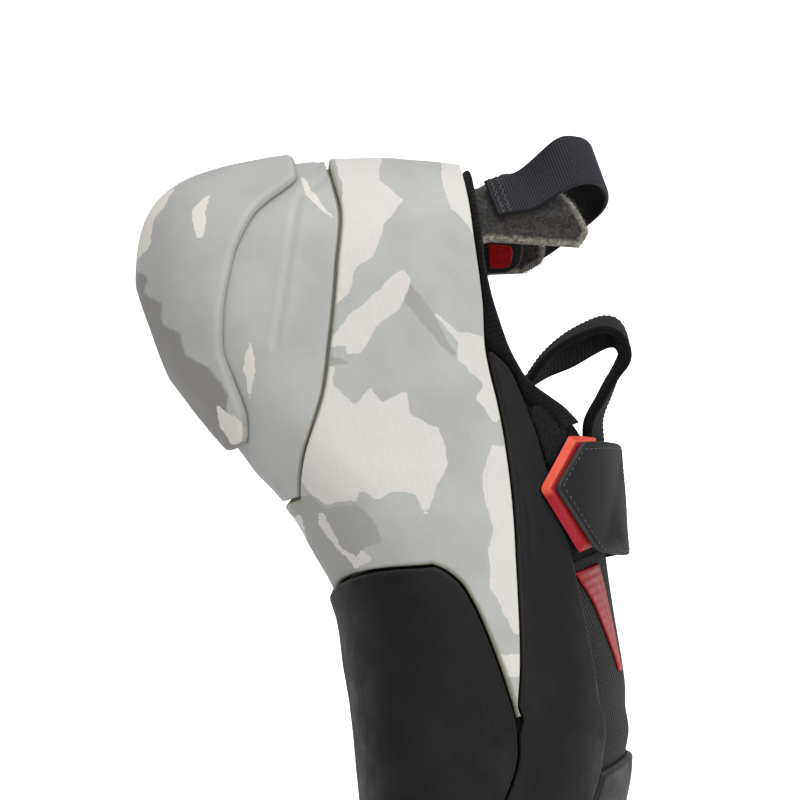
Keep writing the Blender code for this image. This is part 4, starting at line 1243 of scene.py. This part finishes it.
def make_binding():
    """Ribbed knit edge of the collar."""
    pitch = 0.0013
    us = along(0, seat(BINDING_FRONT), 0.00026, last=True)
    inside = up_at(us, COLLAR_LINE, -BINDING_WIDTH)
    low = np.maximum(inside, up_at(us, rubber_top, EDGE_GAP))
    high = up_at(us, COLLAR_LINE)
    spots = both(us, low, high, 0.0007)
    run = np.interp(np.abs(spots.around), us, run_lengths(last_point(us, high)))
    layer("collar_knit", spots, GAP, BINDING_THICK - 0.0002, BINDING_KNIT,
          "collar_binding", 0.0014, 0.00022 * np.cos(2 * np.pi * run / pitch))


def pad_edges(us):
    high = up_at(us, COLLAR_LINE, -BINDING_WIDTH - EDGE_GAP)
    return up_at(us, SIDE_RAND_LINE, EDGE_GAP), high


def make_loop_pad():
    """Pile patch with bent fibres standing on it."""
    us = along(seat(PAD_START), seat(PAD_FRONT), 0.0008, True, True)
    low, high = pad_edges(us)
    spots = Spots([block(us, low, high, 0.0008)])
    layer("pile_pad", spots, GAP, PAD_THICK - 0.0003, PILE_CLOTH, "loop_pad",
          0.0008, wave=(0.00018, 0.003, 19))
    rng = np.random.default_rng(29)
    around = rng.uniform(us[0], us[-1], PILE_COUNT)
    low, high = pad_edges(around)
    up = mix(low, high, rng.uniform(0.03, 0.97, PILE_COUNT))
    roots = surface(around, up, GAP + PAD_THICK - 0.0004)
    paths = fibre_paths(roots, normal(around, up), 0.0011, 1.1, 31)
    threads("pile_fibres", paths, PILE_RADII, PILE_FIBRE, 3)


def make_stripe():
    """Red film along the throat, wrinkled lengthwise."""
    us = along(seat(STRIPE_START), seat(STRIPE_FRONT), 0.0005, True, True)
    bottom = np.maximum(up_at(us, curve(STRIPE_LOW)),
                        up_at(us, SIDE_RAND_LINE, EDGE_GAP))
    spots = Spots([block(us, bottom, up_at(us, curve(STRIPE_HIGH)), 0.0003)])
    y = spots.points[:, 1]
    across = spots.length + 0.0010 * np.sin(y / 0.011)
    wrinkle = 0.00005 * np.sin(across / 0.00045) * smooth(0.0015, 0.004, across)
    ribs = 0.00005 * np.cos(2 * np.pi * y / 0.0021)
    layer("throat_film", spots, GAP, STRIPE_THICK - 0.0002, RED_FILM, "throat_stripe",
          0.0005, wrinkle + ribs)


def strap_grid(line, first, last, s, t):
    """Places of the closure: s from rear to front, t from its end upwards."""
    low = up_at(place(mix(first, last, s)), line)[:, None]
    rear = mix(first, STRAP_REAR, t)
    front = mix(last, STRAP_FRONT + last - STRAP_END[-1][0], t)
    return place(mix(rear, front, s[:, None])), mix(low, 2.0, t)


STRAP_FIRST, STRAP_LAST = STRAP_END[0][0], STRAP_END[-1][0]
RIB_TURN = math.radians(18)
STITCH_INSET = 0.055


def make_strap():
    """Woven strap from its medial seam over the instep to its end."""
    pitch = 0.00066
    s = spaced(0.030, 34)
    runs = []
    for line, side, count in ((STRAP_LINE, 1, 300), (straight(STRAP_SEAM), -1, 260)):
        u, v = strap_grid(line, STRAP_FIRST, STRAP_LAST, s, spaced(0.050, count, True, False))
        run = run_lengths(last_point(side * u, v))
        runs.append((side * u, v, side * (run - run[:, -1:])))
    spots = Spots(runs)
    y, across = spots.points[:, 1], spots.length
    slant = across * math.cos(RIB_TURN) - y * math.sin(RIB_TURN)
    plain = (smooth(-0.006, -0.012, across + 0.9 * (y - 0.108))
             * smooth(-0.002, -0.006, across))
    flat = np.minimum(smooth(0.0016, 0.0011, spots.edge) + plain * 0.9, 1.0)
    rib = np.cos(2 * np.pi * slant / pitch) * (1 - flat)
    climb = smooth(1.52, 1.64, spots.up)
    lift = np.where(spots.around >= 0, STRAP_LIFT, mix(GAP, STRAP_LIFT, climb))
    lift = np.where(spots.up > 1.999, STRAP_LIFT, lift)
    layer("closure_strap", spots, lift, STRAP_THICK - 0.0001, STRAP_WEAVE, "strap",
          0.0007, 0.00009 * rib, fields={'rib': rib})


def stitch_strap():
    """Rows of stitches inside the strap's long edges and its end."""
    paths = []
    ends = np.array((STITCH_INSET, 1 - STITCH_INSET))
    for s, t in ((ends[:1], np.linspace(0.03, 0.98, 120)),
                 (ends[1:], np.linspace(0.03, 0.98, 120)),
                 (np.linspace(*ends, 80), np.array((0.035,)))):
        around, up = (grid.ravel() for grid in
                      strap_grid(STRAP_LINE, STRAP_FIRST, STRAP_LAST, s, t))
        line = surface(around, up, STRAP_LIFT + STRAP_THICK - 0.0001)
        paths += stitch_paths(line, normal(around, up), 0.0011, 0.0007, 0.0001, 0.00012)
    threads("strap_stitches", paths, (0.00006, 0.00009, 0.0001, 0.00009, 0.00006),
            GREY_THREAD)


def make_strap_tab():
    bevel = 0.0017
    s, t = spaced(0.028, 60), spaced(0.020, 44)
    u, v = strap_grid(TAB_LINE, TAB_END[0][0], TAB_END[-1][0], s, 0.45 * t)
    spots = Spots([(u, v, run_lengths(last_point(u, v)))])
    crease = 0.06 * np.exp(-np.abs(spots.edge - bevel) / 0.0002)
    chamfer = TAB_THICK * (np.clip(spots.edge / bevel, 0, 1) - crease)
    free = place(mix(STRAP_FIRST, STRAP_LAST, s))
    hidden = up_at(free, STRAP_LINE)
    # Field for the painted shadow on the tab next to the strap
    inner = np.interp(spots.around, free, hidden) - spots.up
    layer("closure_tab", spots, TAB_LIFT, 0.0, RED_MOULDED, "strap_tab",
          0.0001, np.maximum(chamfer, 0), fields={'inner': np.clip(inner * 0.04, 0, 0.01)})


def sheet(name, grid, thick, look, node=None, roll=0.0002, relief=None,
          fields=None):
    """A rounded sheet round a grid of points, with the same relief on both faces."""
    out = unit(facing(grid).reshape(-1, 3))
    points = grid.reshape(-1, 3)
    quads = grid_quads(*grid.shape[:2])[:, ::-1]
    rim, edge = rim_of(quads, points)
    above = thick / 2 * rolled(edge, roll)
    if relief is not None:
        above = above + relief.ravel() * smooth(0, roll, edge)
    values = {'edge': edge, **{k: v.ravel() for k, v in (fields or {}).items()}}
    closed(name, points, out, quads, above, -above, rim, [look], values, node)


def even_rows(grid, step):
    """A coarse grid read smoothly, with even steps along its middle."""
    fine = np.linspace(0, len(grid) - 1, 40 * (len(grid) - 1) + 1)
    middle = catmull(grid[:, grid.shape[1] // 2], fine)
    run = run_lengths(middle)
    count = round(run[-1] / step)
    at = np.interp(np.linspace(0, run[-1], count + 1), run, fine)
    return catmull(grid, at), np.linspace(0, run[-1], count + 1)


def even_columns(grid, count):
    width = grid.shape[1]
    shares = spaced(0.040, count) * (width - 1)
    return np.swapaxes(catmull(np.swapaxes(grid, 0, 1), shares), 0, 1), shares


def sized(x, y_share, z_share):
    return framed(np.array((x, y_share * LENGTH, z_share * INSTEP_HEIGHT)))


def make_tongue():
    """Knit tongue, sewn under the strap and folded into a pull loop."""
    steps = np.linspace(-1, 1, 9)
    reach = 2 - TONGUE_SIDE
    rows = []
    for share in TONGUE_SEAM:
        around = np.where(steps < 0, -1, 1) * place(share)
        rows.append(surface(around, 2 - np.abs(steps) * reach, TONGUE_LIFT))
    centre = rows[-1][4, 0]
    half = rows[-1][-1, 0] - centre
    for y, z, flare, drop, wide, lean in TONGUE_PATH:
        row = np.array([sized(centre + a * half * wide, y + lean * max(-a, 0), z)
                        for a in steps])
        bend = np.array((0, flare * LENGTH, -drop * INSTEP_HEIGHT))
        rows.append(row + bend * (steps**2)[:, None])
    coarse, _ = even_columns(np.array(rows), 44)
    grid, run = even_rows(coarse, 0.00028)
    rib_pitch, rib_height, rib_reach = 0.0012, 0.00010, 0.86
    hem_place, hem_width, hem_height = 0.93, 0.04, 0.00035
    ribs = rib_height * np.cos(2 * np.pi * run / rib_pitch)[:, None]
    wide = np.abs(np.linspace(-1, 1, grid.shape[1]))
    hem = hem_height * np.exp(-((wide - hem_place) / hem_width)**2)
    relief = ribs * (wide < rib_reach) + hem
    sheet("tongue_knit_band", grid, TONGUE_WALL - 0.0002, TONGUE_KNIT, "tongue",
          0.0009, relief)


def ear(around, t):
    """Middle of the felt, from its foot inside the collar to its top edge."""
    around, t = np.broadcast_arrays(np.asarray(around, float), np.asarray(t, float))
    depth = -UPPER_WALL - EAR_GAP - FELT_THICK / 2
    brim = up_at(around, COLLAR_LINE)
    foot = surface(around, brim - EAR_FOOT, depth)
    base = surface(around, brim, depth) + (0, 0, EAR_RISE)
    top = framed(np.stack((base[..., 0] * EAR_PINCH, EAR_Y(around) * LENGTH,
                           EAR_Z(around) * INSTEP_HEIGHT), -1))
    share = t[..., None]
    return np.where(share < 0, mix(base, foot, -share), mix(base, top, share))


def make_heel_tab():
    """Felt ears with loose fibres along their cut rim."""
    first, last = EAR_TOP[0][0], EAR_TOP[-1][0]
    around = mix(first, last, spaced(0.110, 150))
    t = mix(-1, 1, spaced(0.045, 56))
    grid = ear(around[:, None], t[None, :])
    lump_height, lump_size, lump_seed = 0.00022, 0.004, 23
    soft = lump_height * noise_field(grid.reshape(-1, 3), lump_size, lump_seed)
    sheet("heel_felt", grid, FELT_THICK - 0.0003, HEATHER_FELT, "heel_tab",
          0.0014, soft)
    rng = np.random.default_rng(37)
    u = mix(first, last, rng.uniform(0.01, 0.99, FELT_COUNT))
    rise = unit(ear(u, 1.0) - ear(u, 1.0 - RIM_PROBE))
    across = unit(np.cross(ear(u + RIM_PROBE, 1.0) - ear(u - RIM_PROBE, 1.0), rise))
    turn = rng.uniform(-1.3, 1.3, (FELT_COUNT, 1))
    out = rise * np.cos(turn) + across * np.sin(turn)
    roots = ear(u, 1.0) - rise * 0.0013 + out * (FELT_THICK / 2 - 0.0006)
    paths = fibre_paths(roots, out, 0.0009, 1.2, 41, 0.0)
    threads("felt_fibres", paths, FELT_RADII, FELT_FIBRE, 3)


def flap_panel(name, low, high, foot, top, lift, look):
    """A thin lining on the inner face of the far flap."""
    around = np.linspace(low, high, 40)
    t = np.linspace(0, 1, 24)
    corner = np.minimum(around - low, high - around) / (high - low)
    ends = top * (1 - 0.25 * np.exp(-corner / 0.06))
    grid = ear(around[:, None], foot + (ends[:, None] - foot) * t[None, :])
    out = unit(facing(grid))
    out *= np.sign(out[..., :1])
    sheet(name, grid + out * (FELT_THICK / 2 + lift), 0.0004, look, None)


def make_flap_panels():
    flap_panel("flap_panel", -0.93, -0.50, -0.55, 0.62, 0.00005, FLAP_LINING)
    flap_panel("flap_patch", -0.88, -0.66, 0.02, 0.45, 0.00035, FLAP_RED)


def loop_path():
    """Middles and directions across of the webbing, near ear to far ear."""
    off = FELT_THICK / 2 + GAP + WEBBING_THICK / 2
    middles, sides = [], []

    def on_ear(around, t):
        across = ear(around + LEG_PROBE, t) - ear(around - LEG_PROBE, t)
        rise = ear(around, t + LEG_PROBE) - ear(around, t - LEG_PROBE)
        out = unit(np.cross(across, rise))
        if out[0] * around < 0:
            out = -out
        middles.append(ear(around, t) + out * off)
        sides.append(unit(across * (1, 1, 0) * math.copysign(1, across[1])))

    for t in LOOP_NEAR_LEG:
        on_ear(LOOP_NEAR, t)
    for x, y, z in LOOP_ARCH:
        middles.append(sized(x * BALL_WIDTH, y, z))
        sides.append(np.array((0.0, 1.0, 0.0)))
    for t in LOOP_FAR_LEG:
        on_ear(LOOP_FAR, t)
    return np.array(middles), np.array(sides)


def make_pull_loop():
    """Webbing loop, with two zigzag rows of stitches at its near foot."""
    middles, sides = loop_path()
    coarse = np.stack([middles + sides * WEBBING_WIDTH * w for w in (-0.5, 0, 0.5)],
                      axis=1)
    coarse, shares = even_columns(coarse, 16)
    grid, run = even_rows(coarse, 0.00013)
    whole = np.ones(grid.shape[:2])
    pitch, thread, arch = 0.00072, 0.00011, 0.00012
    rib = np.cos(2 * np.pi * run / pitch)[:, None] * whole
    wide = (shares / 2 - 0.5) * WEBBING_WIDTH * whole
    share = run / run[-1]
    # Share of painted shade along the loop: its top and far leg
    fold = (smooth(0.42, 0.55, share) * smooth(1.0, 0.80, share))[:, None] * whole
    out = unit(facing(grid))
    if out[0, 0, 0] < 0:
        out = -out
    paths = []
    for start in ZIGZAG_STARTS:
        rows = np.searchsorted(run, start + ZIGZAG_REACH * (np.arange(ZIGZAG_TURNS) % 2))
        columns = np.linspace(0.06, 0.94, ZIGZAG_TURNS) * (grid.shape[1] - 1)
        columns = columns.round().astype(int)
        corners = grid[rows, columns] + out[rows, columns] * WEBBING_THICK / 2
        for a, b in zip(corners, corners[1:]):
            t = np.linspace(0, 1, 5)[:, None]
            paths.append(mix(a, b, t) + out[0, 0] * arch * np.sin(np.pi * t))
    threads("loop_stitches", paths, thread, GREY_THREAD)
    sheet("heel_loop_webbing", grid, WEBBING_THICK - 0.0002, LOOP_WEBBING, "pull_loop",
          0.0005, 0.00011 * rib, {'rib': rib, 'wide': wide, 'fold': fold})


make_upper()
make_vamp_cloth()
make_insole()
make_outsole()
make_heel_cup()
make_underlay()
make_heel_sole()
make_heel_rand()
make_side_rand()
make_toe_patch()
make_binding()
make_loop_pad()
make_stripe()
make_strap()
stitch_strap()
make_strap_tab()
make_tongue()
make_heel_tab()
make_flap_panels()
make_pull_loop()


# Studio: pale floor that runs up behind, soft lights, side-on camera


def make_backdrop():
    look = Look("studio_paper", Specular_IOR_Level=0.1)
    look.shader.inputs['Emission Color'].default_value = (1, 1, 1, 1)
    look.shader.inputs['Emission Strength'].default_value = 1.1
    paper = look.finish(look.tone(look.noise(0.6), srgb(240, 240, 240),
                                  srgb(243, 243, 243)), 0.95)
    radius, bend, steps = 2.6, 0.8, 12
    profile = [(0.0, 0.0), (radius - bend, 0.0)]
    for k in range(1, steps + 1):
        angle = math.pi / 2 * k / steps
        profile.append((radius - bend + bend * math.sin(angle),
                        bend - bend * math.cos(angle)))
    profile.append((radius, 3.2))
    turns = 48
    points = [(r * math.cos(a), r * math.sin(a), z) for r, z in profile
              for a in np.linspace(0, 2 * math.pi, turns, endpoint=False)]
    faces = [(i * turns + j, i * turns + (j + 1) % turns,
              (i + 1) * turns + (j + 1) % turns, (i + 1) * turns + j)
             for i in range(len(profile) - 1) for j in range(turns)]
    mesh = bpy.data.meshes.new("backdrop")
    mesh.from_pydata(points, [], [f[::-1] for f in faces])
    mesh.shade_smooth()
    mesh.materials.append(paper)
    floor = bpy.data.objects.new("backdrop", mesh)
    bpy.context.scene.collection.objects.link(floor)
    floor.visible_diffuse = False
    floor.visible_glossy = False
    floor.visible_shadow = False


def make_light(name, spot, target, size, power):
    data = bpy.data.lights.new(name, 'AREA')
    data.shape = 'RECTANGLE'
    data.size, data.size_y = size
    data.energy = power
    lamp = bpy.data.objects.new(name, data)
    lamp.location = spot
    lamp.rotation_euler = (Vector(target) - Vector(spot)).to_track_quat('-Z', 'Y').to_euler()
    bpy.context.scene.collection.objects.link(lamp)


def make_studio():
    world = bpy.data.worlds.new("studio")
    world.use_nodes = True
    background = world.node_tree.nodes['Background']
    background.inputs['Color'].default_value = (1.0, 1.0, 1.0, 1.0)
    background.inputs['Strength'].default_value = 0.60
    bpy.context.scene.world = world
    middle = (0.0, 0.06, 0.05)
    make_light("key", (0.7, -1.2, 1.1), middle, (1.2, 1.2), 12)
    make_light("front", (1.6, 0.5, 0.9), middle, (1.4, 1.0), 6)
    make_light("rim", (-0.9, 0.9, 1.3), middle, (1.0, 1.0), 5)
    bpy.context.scene.view_settings.view_transform = 'Standard'


# The photograph: the shoe's long axis is turned from the picture's vertical
PICTURE_PIXELS = 800
PIXELS_PER_METRE = 4000
TILT = math.radians(20)
PICTURE_CENTRE_Y, PICTURE_CENTRE_Z = 0.0712, 0.0536
CAMERA_DISTANCE = 1.10
NEAR_SIDE = 0.030


def make_camera():
    data = bpy.data.cameras.new("photo_view")
    width = PICTURE_PIXELS / PIXELS_PER_METRE
    data.sensor_width = 36.0
    data.lens = data.sensor_width * CAMERA_DISTANCE / width
    data.clip_start, data.clip_end = 0.05, 20.0
    camera = bpy.data.objects.new("photo_view", data)
    right = Vector((0, math.sin(TILT), math.cos(TILT)))
    up = Vector((0, -math.cos(TILT), math.sin(TILT)))
    back = right.cross(up)
    turn = Matrix((right, up, back)).transposed().to_4x4()
    spot = Vector((NEAR_SIDE, PICTURE_CENTRE_Y - HEEL_REST, PICTURE_CENTRE_Z))
    camera.matrix_world = Matrix.Translation(spot + back * CAMERA_DISTANCE) @ turn
    bpy.context.scene.collection.objects.link(camera)
    bpy.context.scene.camera = camera


make_backdrop()
make_studio()
make_camera()
